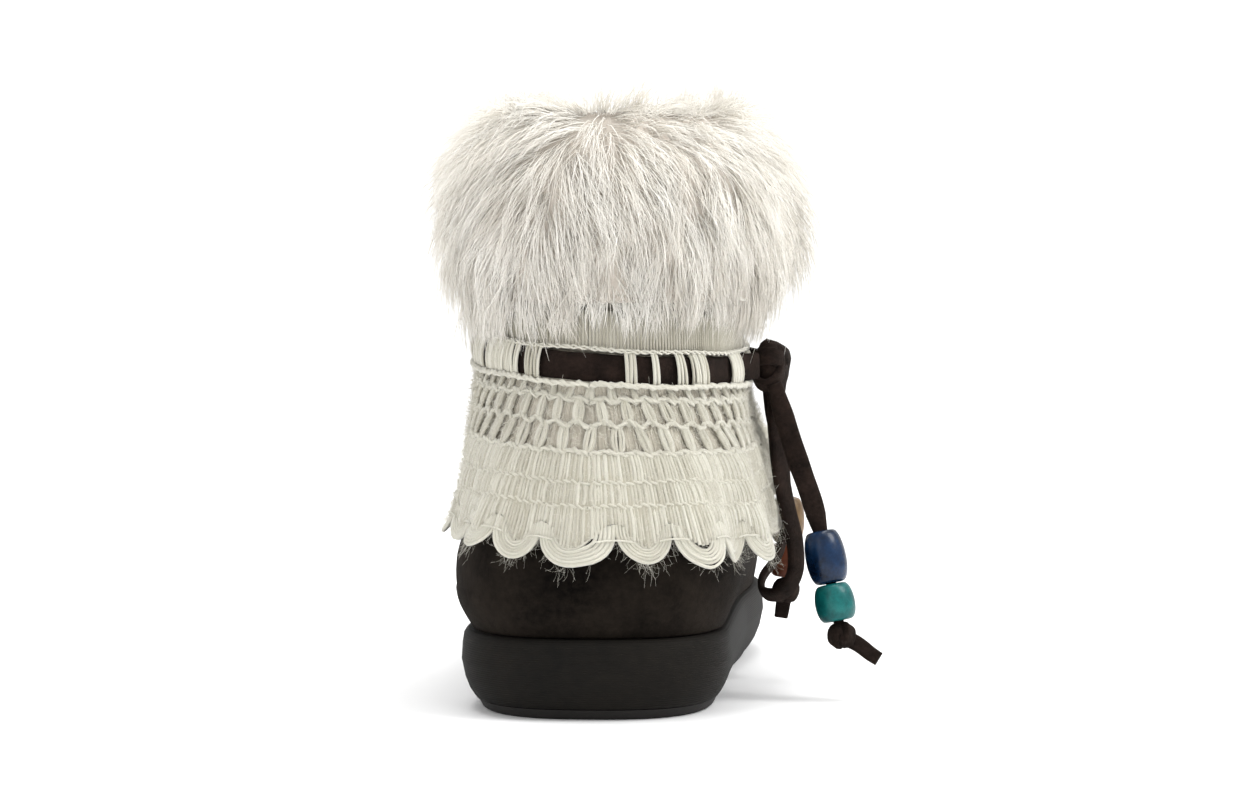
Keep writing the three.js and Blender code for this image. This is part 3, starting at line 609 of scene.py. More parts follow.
strapSection = np.array([
    (-1, 0), (-0.97, 0.55), (-0.84, 0.92), (-0.5, 1), (0, 0.94), (0.5, 1), (0.84, 0.92), (0.97, 0.55),
    (1, 0), (0.97, -0.55), (0.84, -0.92), (0.5, -1), (0, -1), (-0.5, -1), (-0.84, -0.92), (-0.97, -0.55),
])[::-1]


def flatSection(width, thickness, curl=0.0):
    a, b = strapSection.T
    return np.stack([a * width, (b - curl * a ** 2) * thickness], 1) / 2


def sweep(line, facing, sections, closed=False):
    # a section for each point of the line, its broad side turned to the way that facing gives
    tangents = unit(np.roll(line, -1, 0) - np.roll(line, 1, 0) if closed else np.gradient(line, axis=0))
    faces = unit(facing - tangents * np.sum(facing * tangents, -1, keepdims=True))
    across = np.cross(tangents, faces)
    rows = zip(line, across, faces, sections)
    return [place + np.outer(s[:, 0], a) + np.outer(s[:, 1], f) for place, a, f, s in rows]


def strapMesh(name, line, facing, widths, thicks, seed, curl=0.0):
    rng = np.random.default_rng(seed)
    marks = np.arange(0, len(line) + 4, 4)  # the width wavers from mark to mark
    wobble = np.interp(np.arange(len(line)), marks, rng.uniform(-1, 1, len(line) // 4 + 2)[:len(marks)])
    widths = widths * (1 + laceForm["uneven"] * wobble)
    rings = sweep(line, facing, [flatSection(w, t, curl) for w, t in zip(widths, thicks)])
    return meshPiece(name, np.concatenate(rings), tubeFaces(len(rings), len(strapSection)), [finishes["lace"]])


def alongStops(stops, sizes, count):
    points, places = curveThrough([stop[0] for stop in stops], count)
    rows = np.array([(*stop[1], *laceForm[size]) for stop, size in zip(stops, sizes)])
    made = np.stack([np.interp(places, np.arange(len(stops)), rows[:, k]) for k in range(5)], 1)
    return points, made[:, :3], made[:, 3], made[:, 4]


# beads and end knots follow each other along a straight way from the last stop of each end

beadForm = {  # length, radius, mouth, bulge
    "blue": (16.2, 6.25, 3.4, 0.42), "teal": (11.4, 6.15, 3.6, 0.42),
    "tan": (14.5, 5.5, 3.0, 0.5), "copper": (10.4, 5.5, 3.2, 0.42),
}
beadWork = {"hole": 1.9, "lip": 0.35, "rim": 0.9, "dent": 0.012, "around": 40, "gap": 0.3}
endForm = {
    "endNear": {"way": (0.2, -0.13, -0.97), "beads": ("blue", "teal"), "knot": "endKnotNear",
                "node": "end_knot_near", "tail": (11.4, -0.6, -7.2)},
    "endFar": {"way": (-0.02, 0.06, -1), "beads": ("tan", "copper"), "knot": "endKnotFar",
               "node": "end_knot_far", "tail": (-1.5, 4, -9)},
}
knotForm = {
    "length": 8.4, "radii": (2.9, 2.7, 2.1), "strap": (4.8, 2.4), "rings": 40, "tailWidth": 4.6,
    "tailThickness": 1.9, "tailRings": 10, "tailLooks": (0.1, -1.0, 0.3),
    "inBeads": 3.1, "inMouth": 5.0, "inRings": 24, "lastRings": 6,
}


def acrossWay(way):
    side = unit(np.cross(way, np.array([0.0, 1.0, 0.1])))
    return side, np.cross(way, side)


def beadMesh(name, kind, centre, way):
    length, radius, mouth, bulge = beadForm[kind]
    side, other = acrossWay(way)
    rim = beadWork["rim"]
    nearRims = np.linspace(-1, -rim, 5)[:-1], np.linspace(-rim, rim, 15), np.linspace(rim, 1, 5)[1:]
    places = np.concatenate(nearRims)
    profile = [(mouth + (radius - mouth) * (1 - p * p) ** bulge, p * length / 2) for p in places]
    hole, lip, half = beadWork["hole"], beadWork["lip"], length / 2
    profile += [(hole + lip, half - 0.05), (hole, half - 0.5), (hole, 0.5 - half), (hole + lip, 0.05 - half)]
    angles = np.arange(beadWork["around"]) * tau / beadWork["around"]
    rings = []
    for reach, along in profile:
        dent = beadWork["dent"] * np.sin(2 * angles + along * 0.3) if reach > hole + 1 else 0
        out = reach * (1 + dent)
        ring = np.outer(np.cos(angles) * out, side) + np.outer(np.sin(angles) * out, other)
        rings.append(centre + way * along + ring)
    faces = [face[::-1] for face in ringFaces(len(rings), len(angles), joined=True)]
    return meshPiece(name, np.concatenate(rings), faces, [finishes[kind]])


def endKnotMesh(name, centre, way, tail):
    # one turn of the lace round itself: a tight trefoil of strap, with its cut tail
    side, other = acrossWay(way)
    t = np.linspace(0, tau, knotForm["rings"], endpoint=False)
    trefoil = (np.sin(t) + 2 * np.sin(2 * t)) / 3, (np.cos(t) - 2 * np.cos(2 * t)) / 3, -np.sin(3 * t)
    path = centre + (np.stack(trefoil, 1) * knotForm["radii"]) @ np.stack([side, other, way])
    rings = sweep(path, path - centre, [flatSection(*knotForm["strap"])] * len(t), closed=True)
    faces = ringFaces(len(rings), len(strapSection), joined=True)
    tail = np.asarray(tail, float)
    raised = centre + tail * 0.45 + np.array([0, 0, 0.5])
    stops = [centre + unit(tail) * 1.5, raised, centre + tail * 0.78, centre + tail]
    line, _ = curveThrough(stops, knotForm["tailRings"])
    widths = knotForm["tailWidth"] * np.linspace(1.1, 0.95, len(line))
    facing = np.tile(knotForm["tailLooks"], (len(line), 1))
    faces += shifted(tubeFaces(len(line), len(strapSection)), len(rings) * len(strapSection))
    rings += sweep(line, facing, [flatSection(width, knotForm["tailThickness"]) for width in widths])
    return meshPiece(name, np.concatenate(rings), faces, [finishes["lace"]])


def threadEnd(end, place):
    # the beads and the knot, each after the last one: gives the knot's place and the pieces
    way, made = unit(np.array(end["way"], float)), []
    for kind in end["beads"]:
        half = beadForm[kind][0] / 2
        place = place + way * (beadWork["gap"] + half)
        bead = beadMesh(kind + "Bead", kind, place, way)
        made.append(settle(bead, "bead_" + kind, "bead_" + kind))
        place = place + way * half
    place = place + way * (beadWork["gap"] + knotForm["length"] / 2)
    knot = endKnotMesh(end["knot"], place, way, end["tail"])
    made.append(settle(knot, "lace_suede", end["node"]))
    return place - way, made


print("boot: the bow, its beads and its ends")
cords = {}
for name, stops in bowRoutes.items():
    solid, count = bowPieces[name]
    last = "tied" if name in endForm else "pinched"
    sizes = ["pinched"] + ["usual"] * (len(stops) - 2) + [last]
    points, faces, widths, thicks = alongStops(stops, sizes, count)
    goingWith = []
    if name in endForm:  # the lace goes on through its beads, narrow, and into its knot
        inside, goingWith = threadEnd(endForm[name], points[-1].copy())
        run, few = knotForm["inRings"], knotForm["lastRings"]
        through = points[-1] + np.outer(np.linspace(0, 1, run + 1)[1:], inside - points[-1])
        narrow = np.interp(np.arange(1, run + 1), [0, 2], [knotForm["inMouth"], knotForm["inBeads"]])
        points = np.vstack([points, through])
        faces = np.vstack([faces, np.tile(faces[-1], (run, 1))])
        widths = np.concatenate([widths, narrow])
        widths[count - few:count] = np.linspace(widths[count - few - 1], knotForm["tailWidth"], few)
        thicks = np.concatenate([thicks, np.full(run, laceForm["usual"][1])])
    strap = strapMesh(name, points, faces, widths, thicks, 11, laceForm["curl"])
    settle(strap, "lace_suede", solid)
    cords[name] = (strap, points, goingWith)

for name, (strap, points, goingWith) in cords.items():
    length = float(np.sum(np.linalg.norm(np.diff(points, axis=0), axis=1))) * mm
    print("   cord", name, round(length, 4))


# foot and shaft: a suede wall with its fleece, closed over both edges, and a pale one above it

footForm = {
    "around": 216, "rise": 52, "uneven": 0.35,
    "folds": ((2.55, 0.12, 1.0), (3.1, 0.13, 0.9), (3.75, 0.14, 0.7)),  # level, width and weight
    "foldDepth": 0.55, "foldSwell": 0.6, "foldBeside": 0.26, "foldWave": 0.16,
    "seamLevel": 1.35, "seamWidth": 0.035, "seamDepth": 0.5, "counter": 0.35, "counterEdge": 0.02,
    "backSeam": (0.4, 0.0022), "backSwell": (0.3, 0.0075, 0.004),
}
shaftForm = {"around": 200, "rise": 28, "uneven": 0.25, "gap": 0.02}


def wallMesh(name, lowLevel, highLevel, thickness, outside, relief, around, rise):
    turns = np.arange(around) / around
    rows = np.linspace(lowLevel, highLevel, rise)
    insideRows = rows[::3] if (rise - 1) % 3 == 0 else rows

    def normalAt(level):
        return flatNormal(turns, level) if level in (rows[0], rows[-1]) else surfaceNormal(turns, level)

    rings = [surfacePoint(turns, level) + normalAt(level) * relief(turns, level)[:, None] for level in rows]
    rings += [surfacePoint(turns, level) - normalAt(level) * thickness for level in insideRows[::-1]]
    faces = ringFaces(len(rings), around, joined=True)
    slots = [0 if index // around < rise - 1 else 1 for index in range(len(faces))]
    return meshPiece(name, np.concatenate(rings), faces, [outside, finishes["fleece"]], faceSlots=slots)


def bell(distance, width):
    return np.exp(-(distance / width) ** 2)


def footRelief(turns, level):
    relief = footForm["uneven"] * noiseOn(surfacePoint(turns, level), 46, 3)
    front = np.maximum(0, -np.cos(tau * turns)) ** 1.2
    for place, wide, weight in footForm["folds"]:
        below = level - place - footForm["foldWave"] * np.sin(5 * tau * turns + place)
        depth = weight * footForm["foldDepth"] * front
        swell = footForm["foldSwell"] * bell(below - footForm["foldBeside"], wide)
        relief += depth * (swell - bell(below, wide))
    heel = np.maximum(0, np.cos(tau * turns)) ** 0.5
    above = level - footForm["seamLevel"]  # the counter's stitched edge
    relief -= footForm["seamDepth"] * heel * bell(above, footForm["seamWidth"])
    relief += footForm["counter"] * heel / (1 + np.exp(above / footForm["counterEdge"]))
    back = np.minimum(turns, 1 - turns)
    seamDepth, seamWidth = footForm["backSeam"]
    swell, beside, wide = footForm["backSwell"]
    relief += swell * bell(back - beside, wide) - seamDepth * bell(back, seamWidth)
    return relief if 0 < level < bootForm["joinLevel"] else relief * 0


def shaftRelief(turns, level):
    edge = level < bootForm["joinLevel"] + 0.05 or level > bootForm["collarLevel"] - 0.05
    return shaftForm["uneven"] * noiseOn(surfacePoint(turns, level), 40, 8) * (0 if edge else 1)


print("boot: foot, shaft and sole")
foot = wallMesh("suedeFoot", 0.0, bootForm["joinLevel"], bootForm["upperWall"], finishes["suede"], footRelief,
                footForm["around"], footForm["rise"])
settle(foot, "suede", "upper")
shaft = wallMesh("paleShaft", bootForm["joinLevel"] + shaftForm["gap"], bootForm["collarLevel"],
                 bootForm["shaftWall"], finishes["shaft"], shaftRelief, shaftForm["around"], shaftForm["rise"])
settle(shaft, "shaft_leather", "shaft")


# sole: one moulded block with rounded edges, a thin grooved tread under it and a footbed over it

soleForm = {
    "side": [  # height, and how far it lies inwards
        (3.3, 4.6), (4.2, 3.9), (6.3, 2.5), (9.8, 1.1), (15, 0.0), (20, 0.3), (22.6, 0.75), (23.7, 1.5),
        (24, 2.4),
    ],
    "tread": [(0.0, 7.6), (0.5, 6.6), (1.2, 6.2), (3.0, 5.2)],
    "insole": [(0, 0.4), (0.6, 0), (3.2, 0), (3.8, 0.5), (4.0, 1.4)], "insoleDepth": 3.1,
    "around": 300, "rowStep": 1.1,
    "lugPitch": 11.0, "lugGroove": 3.4, "lugDepth": 1.5, "lugRim": 9.0,
    "heelLugs": (-16.5, 5), "foreLugs": (112.0, 6),
    "archLift": 2.2, "archStart": 52.0, "archEnd": 112.0,
}


def soleRing(turns, z, inset):
    loop = (bootForm["soleBack"] + inset, z, bootForm["soleFront"] - inset, z, bootForm["ballOuter"] - inset,
            bootForm["ballInner"] - inset, bootForm["soleHeelEnd"], bootForm["soleToeEnd"], 1, 1)
    return loopPoint(loop, turns)


def denseRows(rows, step):
    heights = [z for z, _ in rows]
    made = np.unique(np.concatenate([np.arange(heights[0], heights[-1], step), heights]))
    return [(z, float(np.interp(z, heights, [inset for _, inset in rows]))) for z in made]


def archRise(y):
    share = np.clip((y - soleForm["archStart"]) / (soleForm["archEnd"] - soleForm["archStart"]), 0, 1)
    return soleForm["archLift"] * np.sin(math.pi * share) ** 2


def capped(rings, count):
    # lines from side to side close both ends, so that the cap follows the ends' own bend
    faces = ringFaces(len(rings), count)
    top = (len(rings) - 1) * count
    for i in range(count // 2):
        a, b, c, d = i, (count - i) % count, i + 1, (count - i - 1) % count
        low = [a, b, d, c] if a != b and c != d else ([a, d, c] if a == b else [a, b, c])
        faces.append(tuple(low))
        faces.append(tuple(top + v for v in reversed(low)))
    return faces


def solePart(name, rings, finish):
    # the surface's own coordinates are the turn, and the height in metres
    points = np.concatenate(rings)
    uv = np.stack([np.tile(soleTurns, len(rings)), points[:, 2] * mm], 1)
    return meshPiece(name, points, capped(rings, soleForm["around"]), [finishes[finish]], uv=uv)


soleTurns = np.arange(soleForm["around"]) / soleForm["around"]
soleRows = denseRows(soleForm["side"], soleForm["rowStep"])
soleRings = [soleRing(soleTurns, z, inset) for z, inset in soleRows]
settle(solePart("mouldedSole", soleRings, "sole"), "sole_rubber", "sole")

treadRings = [soleRing(soleTurns, z, inset) for z, inset in soleForm["tread"]]
treadRings[0][:, 2] += archRise(treadRings[0][:, 1])
tread = solePart("treadPlate", treadRings, "tread")
barPoints, barFaces = [], []
for fromY, number in (soleForm["heelLugs"], soleForm["foreLugs"]):
    for i in range(number):
        y = fromY + i * soleForm["lugPitch"]
        along = (y - bootForm["soleBack"]) / (bootForm["soleFront"] - bootForm["soleBack"])
        place = np.interp(along, stations[:, 0], np.arange(len(stations)))
        back = roundedEnd((y - bootForm["soleBack"]) / bootForm["soleHeelEnd"], bootForm["heelSquareness"])
        rim = soleForm["lugRim"] + soleForm["tread"][0][1]
        bend = smoothColumn(stations, 3, place)
        high = bend + bootForm["ballOuter"] * smoothColumn(stations, 1, place) * back - rim
        low = bend - bootForm["ballInner"] * smoothColumn(stations, 2, place) * back + rim
        half, deep, lift = soleForm["lugGroove"] / 2, soleForm["lugDepth"], float(toeLift(y))
        barFaces += shifted(tubeFaces(2, 4), len(barPoints))
        for z in (lift - deep, lift + deep):
            barPoints += [(low, y - half, z), (high, y - half, z), (high, y + half, z), (low, y + half, z)]
cutter = meshPiece("treadCutter", barPoints, barFaces, [finishes["tread"]])
cut = tread.modifiers.new("grooves", "BOOLEAN")
cut.operation = "DIFFERENCE"
cut.object = cutter
cut.solver = "EXACT"
makePlain(tread)
bpy.data.objects.remove(cutter)
tread.data.polygons.foreach_set("use_smooth", [False] * len(tread.data.polygons))
settle(tread, "tread_rubber", "tread")

insoleRings = []
for rise, inset in soleForm["insole"]:
    ring = surfacePoint(soleTurns, 0.0) - flatNormal(soleTurns, 0.0) * (soleForm["insoleDepth"] + inset)
    ring[:, 2] += rise
    insoleRings.append(ring)
insole = meshPiece("fleeceInsole", np.concatenate(insoleRings), capped(insoleRings, soleForm["around"]),
                   [finishes["fleece"]])
settle(insole, "lining", "insole")


# skirt: places down the surface from the skirt's tilted top edge, and out from the boot

skirtForm = {
    "topLevel": 7.42, "tilt": 3.3, "gathers": 16, "gatherPhase": 0.25, "gatherDepth": 2.4, "gatherStart": 36.0,
    "closeFit": 2.0, "sideFlare": 0.85, "sideGathers": 0.6, "frontFlare": 0.45,
    "scallops": 32, "scallopPhase": 0.3, "scallopDepth": 7.0, "hem": 76.0,
}
skirtProfile = np.array([  # drop, out, thickness
    (0, 0.9, 1.7), (12, 1.2, 1.7), (23.4, 1.6, 1.9), (26.2, 1.7, 1.9), (33.6, 2.0, 1.9), (42.6, 2.7, 2.2),
    (52, 3.3, 2.4), (64, 4.0, 2.5), (76, 4.4, 2.5),
])
walk = {"turns": 256, "levels": 160, "farthest": 116, "step": 0.5}  # a table of levels by turn and drop
walkTurns = np.arange(walk["turns"] + 1) / walk["turns"]
walkDrops = np.arange(0, walk["farthest"], walk["step"])
walkSteps = skirtForm["topLevel"] * (1 - np.arange(walk["levels"] + 1) / walk["levels"])
walkPoints = surfacePoint(walkTurns[:, None], walkSteps[None, :])
walkGaps = np.linalg.norm(np.diff(walkPoints, axis=1), axis=2)
walkFar = np.concatenate([np.zeros((len(walkTurns), 1)), np.cumsum(walkGaps, axis=1)], 1)
walkLevels = np.array([np.interp(walkDrops, far, walkSteps) for far in walkFar])


def levelAt(turn, drop):
    t = (np.asarray(turn, float) % 1.0) * walk["turns"]
    d = np.clip(np.asarray(drop, float), 0, walkDrops[-1] - 0.51) / walk["step"]
    i, j = np.floor(t).astype(int), np.floor(d).astype(int)
    f, g = t - i, d - j
    i2 = (i + 1) % walk["turns"]
    return ((1 - f) * ((1 - g) * walkLevels[i, j] + g * walkLevels[i, j + 1])
            + f * ((1 - g) * walkLevels[i2, j] + g * walkLevels[i2, j + 1]))


def frontness(turn):
    return np.maximum(0, -np.cos(tau * turn)) ** 1.5


def skirtOut(turn, drop, out):
    front = frontness(turn)
    side = np.sin(tau * turn)
    flare = (1 + skirtForm["sideFlare"] * side) * (1 - front) + skirtForm["frontFlare"] * front
    flare = flare * np.maximum(0, out - skirtForm["closeFit"])
    start = skirtForm["gatherStart"]
    reach = np.clip((drop - start) / (skirtForm["hem"] - start), 0, 1) ** 1.3
    gather = skirtForm["gatherDepth"] * (1 + skirtForm["sideGathers"] * side) * reach
    gather = gather * np.sin(tau * (skirtForm["gathers"] * turn + skirtForm["gatherPhase"]))
    return np.minimum(out, skirtForm["closeFit"]) + flare + gather * (1 - 0.5 * front)


def tiltedLevel(turn, drop):
    return levelAt(turn, np.maximum(0, drop + skirtForm["tilt"] * (1 + np.sin(tau * turn))))


def onSkirt(turn, drop, out):
    # out is counted from the boot's surface, with no flare of its own
    turn, drop, out = np.broadcast_arrays(*(np.asarray(v, float) for v in (turn, drop, out)))
    level = tiltedLevel(turn, drop)
    return surfacePoint(turn, level) + surfaceNormal(turn, level) * out[..., None]


def inSkirt(turn, drop, share, extra=0.0):
    # share runs from the skirt's inner face (0) to its outer face (1)
    turn, drop = np.broadcast_arrays(np.asarray(turn, float), np.asarray(drop, float))
    base = np.interp(drop, skirtProfile[:, 0], skirtProfile[:, 1])
    thick = np.interp(drop, skirtProfile[:, 0], skirtProfile[:, 2])
    return onSkirt(turn, drop, skirtOut(turn, drop, base) + thick * share + extra)


def hemDrop(turn):
    share = (np.asarray(turn, float) * skirtForm["scallops"] - skirtForm["scallopPhase"]) % 1
    return skirtForm["hem"] - skirtForm["scallopDepth"] * np.abs(np.cos(math.pi * share)) ** 2.2


def bandMesh(name, drops, place, thickness, finish, around):
    # a closed strip of cloth round the boot: place(turn, drop) gives its outer face
    turns = np.arange(around) / around
    outer = [place(turns, drop) for drop in drops]
    levels = [tiltedLevel(turns, drop) for drop in drops]
    inner = [ring - surfaceNormal(turns, level) * thickness for ring, level in zip(outer, levels)]
    rings = outer[::-1] + inner
    girth = np.concatenate([[0], np.cumsum(np.linalg.norm(np.diff(outer[0], axis=0), axis=1))]) * mm
    heights = np.repeat(np.concatenate([drops[::-1], drops]) * mm, around)
    uv = np.stack([np.tile(girth, len(rings)), heights], 1)
    faces = ringFaces(len(rings), around, joined=True)
    return meshPiece(name, np.concatenate(rings), faces, [finishes[finish]], uv=uv)


def tapePlace(turn, drop):
    # the tape's two edges are rounded off
    return onSkirt(turn, drop, 2.45 - 0.5 * (drop < 0.2) - 0.4 * (drop > 12))


def backingPlace(turn, drop):
    return inSkirt(turn, drop, 0.0, 0.35)


print("boot: tape and backing of the skirt")
tapeDrops = np.array([0, 0.35, 0.9, 3, 6, 9, 11, 11.8, 12.3])
settle(bandMesh("wovenTape", tapeDrops, tapePlace, 1.3, "tape", 360), "yarn", "crochet_band")
settle(bandMesh("skirtBacking", np.arange(13.0, 49, 7), backingPlace, 0.5, "backing", 240), "yarn")


# crochet: every strand is a line on the skirt, given thickness by the yarn tree

crochetForm = {
    "seed": 21, "meshColumns": 54, "strand": 0.6, "sides": 4, "rib": 0.66, "ribPitch": 1.02,
    "tapeRibPitch": 1.0, "tapeRib": 0.42, "postDrop": 17.5, "postPitch": 1.15, "chainStep": 1.5,
    "postEnds": (11.4, 23.0), "postOut": 3.0, "postArch": 1.9, "postRadius": 0.6,
    "ribRows": ((43.6, 51.6), (52.2, 58.5), (59.2, None)),  # the last row ends over the scallops
    "ribsOverHem": 5.2, "shortestRib": 1.5,
    "chains": (  # drop, how far it waves, radius, and how far it stands over the skirt
        (11.8, 0.0, 0.36, 1.7), (22.6, 0.25, 0.62, 1.7), (26.9, 0.75, 0.62, 0.0), (34.4, 1.2, 0.62, 0.0),
        (43.2, 0.45, 0.62, 0.0), (51.9, 0.3, 0.47, 0.0), (58.8, 0.3, 0.47, 0.0),
    ),
    "heelWindows": ((-22.0, -20.0), (-15.2, 10.6), (14.2, 18.0), (20.8, 24.7), (28.0, 29.8), (34.4, 41.4)),
    "laceGoesThrough": ((0.185, 0.225), (0.245, 0.29)),
    "sideWindows": ((0.79, 0.815), (0.832, 0.838), (0.853, 0.859)),
    "frontWindows": (0.325, 0.435, 0.555, 0.665),  # where a long window and three short ones begin
}
rng = np.random.default_rng(crochetForm["seed"])
yarnPaths, yarnRadii, yarnTints = [], [], []


def addStrand(path, radius, tint=None):
    yarnPaths.append(np.asarray(path))
    yarnRadii.append(radius)
    yarnTints.append(rng.uniform(0.2, 1.0) if tint is None else tint)


def evenTurns(drop, pitch):
    # turns that lie a pitch apart along the skirt at this drop
    turns = np.linspace(0, 1, 361)
    far = np.concatenate([[0], np.cumsum(np.linalg.norm(np.diff(inSkirt(turns, drop, 0.5), axis=0), axis=1))])
    count = max(8, int(round(far[-1] / pitch)))
    return np.interp(np.arange(count) * far[-1] / count, far, turns)


for drop, wave, thickness, over in crochetForm["chains"]:  # two threads twist round each other
    turns = np.append(evenTurns(drop, crochetForm["chainStep"]), 1.0)
    count = len(turns)
    lift = wave * np.cos(tau * crochetForm["meshColumns"] * turns) + 0.25 * np.sin(tau * 9 * turns + drop)
    for phase in (0.0, 0.5):
        twist = tau * (np.arange(count) * 0.31 + phase)
        place = inSkirt(turns, drop + lift + 0.55 * np.sin(twist), 0.72, over + 0.45 * np.cos(twist))
        place[-1] = place[0] if phase == 0 else place[-1]
        addStrand(place, thickness * (0.9 + 0.2 * rng.random(count)), 0.85)

heelTurns = np.linspace(-0.25, 0.25, 801)
xAtLace = onSkirt(heelTurns, 17.0, 5.0)[:, 0]
windowTurns = [tuple(np.interp(window, xAtLace, heelTurns)) for window in crochetForm["heelWindows"]]
windowTurns += crochetForm["laceGoesThrough"] + crochetForm["sideWindows"]
for start in crochetForm["frontWindows"]:
    windowTurns.append((start, start + 0.045))
    windowTurns += [(start + 0.058 + 0.013 * k, start + 0.063 + 0.013 * k) for k in range(3)]


def inWindow(turn):
    return any(low - 0.001 <= turn - whole <= high + 0.001 for low, high in windowTurns for whole in (0, 1))


for turn in evenTurns(crochetForm["postDrop"], crochetForm["postPitch"]):  # the posts before the lace
    if not inWindow(turn):
        drops = np.linspace(*crochetForm["postEnds"], 7)
        lean = rng.normal(0, 0.0006)
        arch = np.sin(np.linspace(0, math.pi, 7)) ** 0.6
        out = crochetForm["postOut"] + crochetForm["postArch"] * arch + rng.normal(0, 0.12)
        addStrand(onSkirt(turn + lean * np.linspace(-1, 1, 7), drops, out), crochetForm["postRadius"])

for turn in evenTurns(6, crochetForm["tapeRibPitch"]):  # the tape's own fine ribs
    addStrand(onSkirt(turn, np.array([0.3, 4, 8, 11.4]), 2.5), crochetForm["tapeRib"], rng.uniform(0, 0.5))

meshRows = [  # from drop, to drop, half width in turns, how far they bow, and how far they stand out
    (23.2, 26.6, 0.0019, 0.0, 0.1), (27.3, 34.0, 0.0025, 1.0, 0.4), (35.0, 42.8, 0.0028, 0.85, 0.35),
]
columns = crochetForm["meshColumns"]
height = np.linspace(0, 1, 8)
for r, (fromDrop, toDrop, halfWidth, bow, outwards) in enumerate(meshRows):
    for column in range(columns):
        middle = (column + 0.5 * (r % 2) + rng.normal(0, 0.05)) / columns
        lean = 0.12 * np.sin(tau * middle) / columns + rng.normal(0, 0.05) / columns
        wide = halfWidth * (1 + rng.normal(0, 0.15))
        spread = 0.35 + bow * np.sin(math.pi * height) ** 0.7 if bow > 0 else 0.3 + 1.1 * height
        leaning = middle + lean * (height - 0.5) * 2
        for side in (-1, -0.45, 0.45, 1):
            drops = fromDrop - 0.6 + (toDrop - fromDrop + 1.2) * height
            out = outwards * np.sin(math.pi * height) + rng.normal(0, 0.1)
            path = inSkirt(leaning + side * wide * spread, drops, 0.6, out)
            addStrand(path, crochetForm["strand"] * rng.uniform(0.85, 1.2))
        if r:
            turns = leaning + rng.normal(0, 0.0004)
            drops = fromDrop + (toDrop - fromDrop) * height
            addStrand(inSkirt(turns, drops, 0.15, 0.0), crochetForm["strand"] * 0.7, 0.1)

meshStrands = len(yarnPaths)
ribHeight = np.linspace(0, 1, 5)
ribArch = np.sin(math.pi * ribHeight)
for start, stop in crochetForm["ribRows"]:
    for k, turn in enumerate(evenTurns(start + 5, crochetForm["ribPitch"])):
        end = stop if stop is not None else float(hemDrop(turn)) - crochetForm["ribsOverHem"]
        if end - start < crochetForm["shortestRib"]:
            continue
        raised = 0.2 * (k % 2) + rng.normal(0, 0.06) + 0.35 * ribArch - 0.25
        turns = turn + rng.normal(0, 0.0003) * ribArch
        path = inSkirt(turns, start + (end - start) * ribHeight, 0.72, raised)
        addStrand(path, crochetForm["rib"] * rng.uniform(0.85, 1.15))

scallopForm = {"strands": 6, "top": 64.0, "gap": 0.86, "radius": 0.62, "halfWidth": 0.49, "narrowing": 0.11}
angle = np.linspace(0, math.pi, 19)
for k in range(skirtForm["scallops"]):
    centre = (k + 0.5 + skirtForm["scallopPhase"]) / skirtForm["scallops"]
    wide = scallopForm["halfWidth"] / skirtForm["scallops"] * (1 + rng.normal(0, 0.03))
    droop = rng.normal(0, 0.5)
    for j in range(scallopForm["strands"]):
        reach = wide * (1 - scallopForm["narrowing"] * j)
        bottom = skirtForm["hem"] - 0.4 - scallopForm["gap"] * j + droop
        top = scallopForm["top"] + 0.35 * j
        turns = centre - reach * np.cos(angle) * (1 - 0.1 * np.sin(angle) ** 3)
        drops = top + (bottom - top) * np.sin(angle) ** 0.75
        path = inSkirt(turns, drops, 0.62, 0.35 - 0.06 * j + rng.normal(0, 0.1))
        addStrand(path, scallopForm["radius"] * rng.uniform(0.85, 1.2), 0.6 + 0.4 * rng.random())
    # the thread across the cusp between two scallops
    cusp = (k + skirtForm["scallopPhase"]) / skirtForm["scallops"]
    side = np.linspace(-1, 1, 7)
    addStrand(inSkirt(cusp + side * 0.008, skirtForm["hem"] - 7.6 + 0.5 * side ** 2, 0.9, 0.5), 0.28, 1.0)

for label, chosen in (("crochetRows", slice(0, meshStrands)), ("crochetHem", slice(meshStrands, None))):
    piece = strandPiece(label, yarnPaths[chosen], yarnRadii[chosen], finishes["yarn"], crochetForm["sides"],
                        yarnTints[chosen])
    settle(piece, "yarn")

# a close web behind the ribs keeps the dark suede from showing between the strands
webForm = {"around": 256, "rings": 8, "top": 43.2, "aboveHem": 5.6, "share": 0.86}
webTurns = np.arange(webForm["around"]) / webForm["around"]
webDepth = hemDrop(webTurns) - webForm["aboveHem"] - webForm["top"]
webSteps = [(share, webForm["share"]) for share in np.linspace(1, 0, webForm["rings"])]
webSteps += [(share, 0.0) for share in np.linspace(0, 1, webForm["rings"])]
webRings = [inSkirt(webTurns, webForm["top"] + webDepth * down, share) for down, share in webSteps]
web = meshPiece("skirtWeb", np.concatenate(webRings), ringFaces(len(webRings), webForm["around"], joined=True),
                [finishes["yarn"]])
settle(web, "yarn")

print("boot: mohair fuzz")
fuzzForm = {
    "seed": 5, "sides": 3, "lowest": 75.0,
    "curly": {"count": 8200, "from": 23.0, "length": (1.4, 4.2), "share": 0.95, "downward": 0.2},
    "haze": {"count": 10500, "from": 24.5, "length": (0.9, 2.4), "share": 1.0, "downward": 0.1},
    "radius": 0.042, "hemCount": 3000, "hemLength": (2.0, 7.0), "hemRadius": 0.017,
}
rng = np.random.default_rng(fuzzForm["seed"])


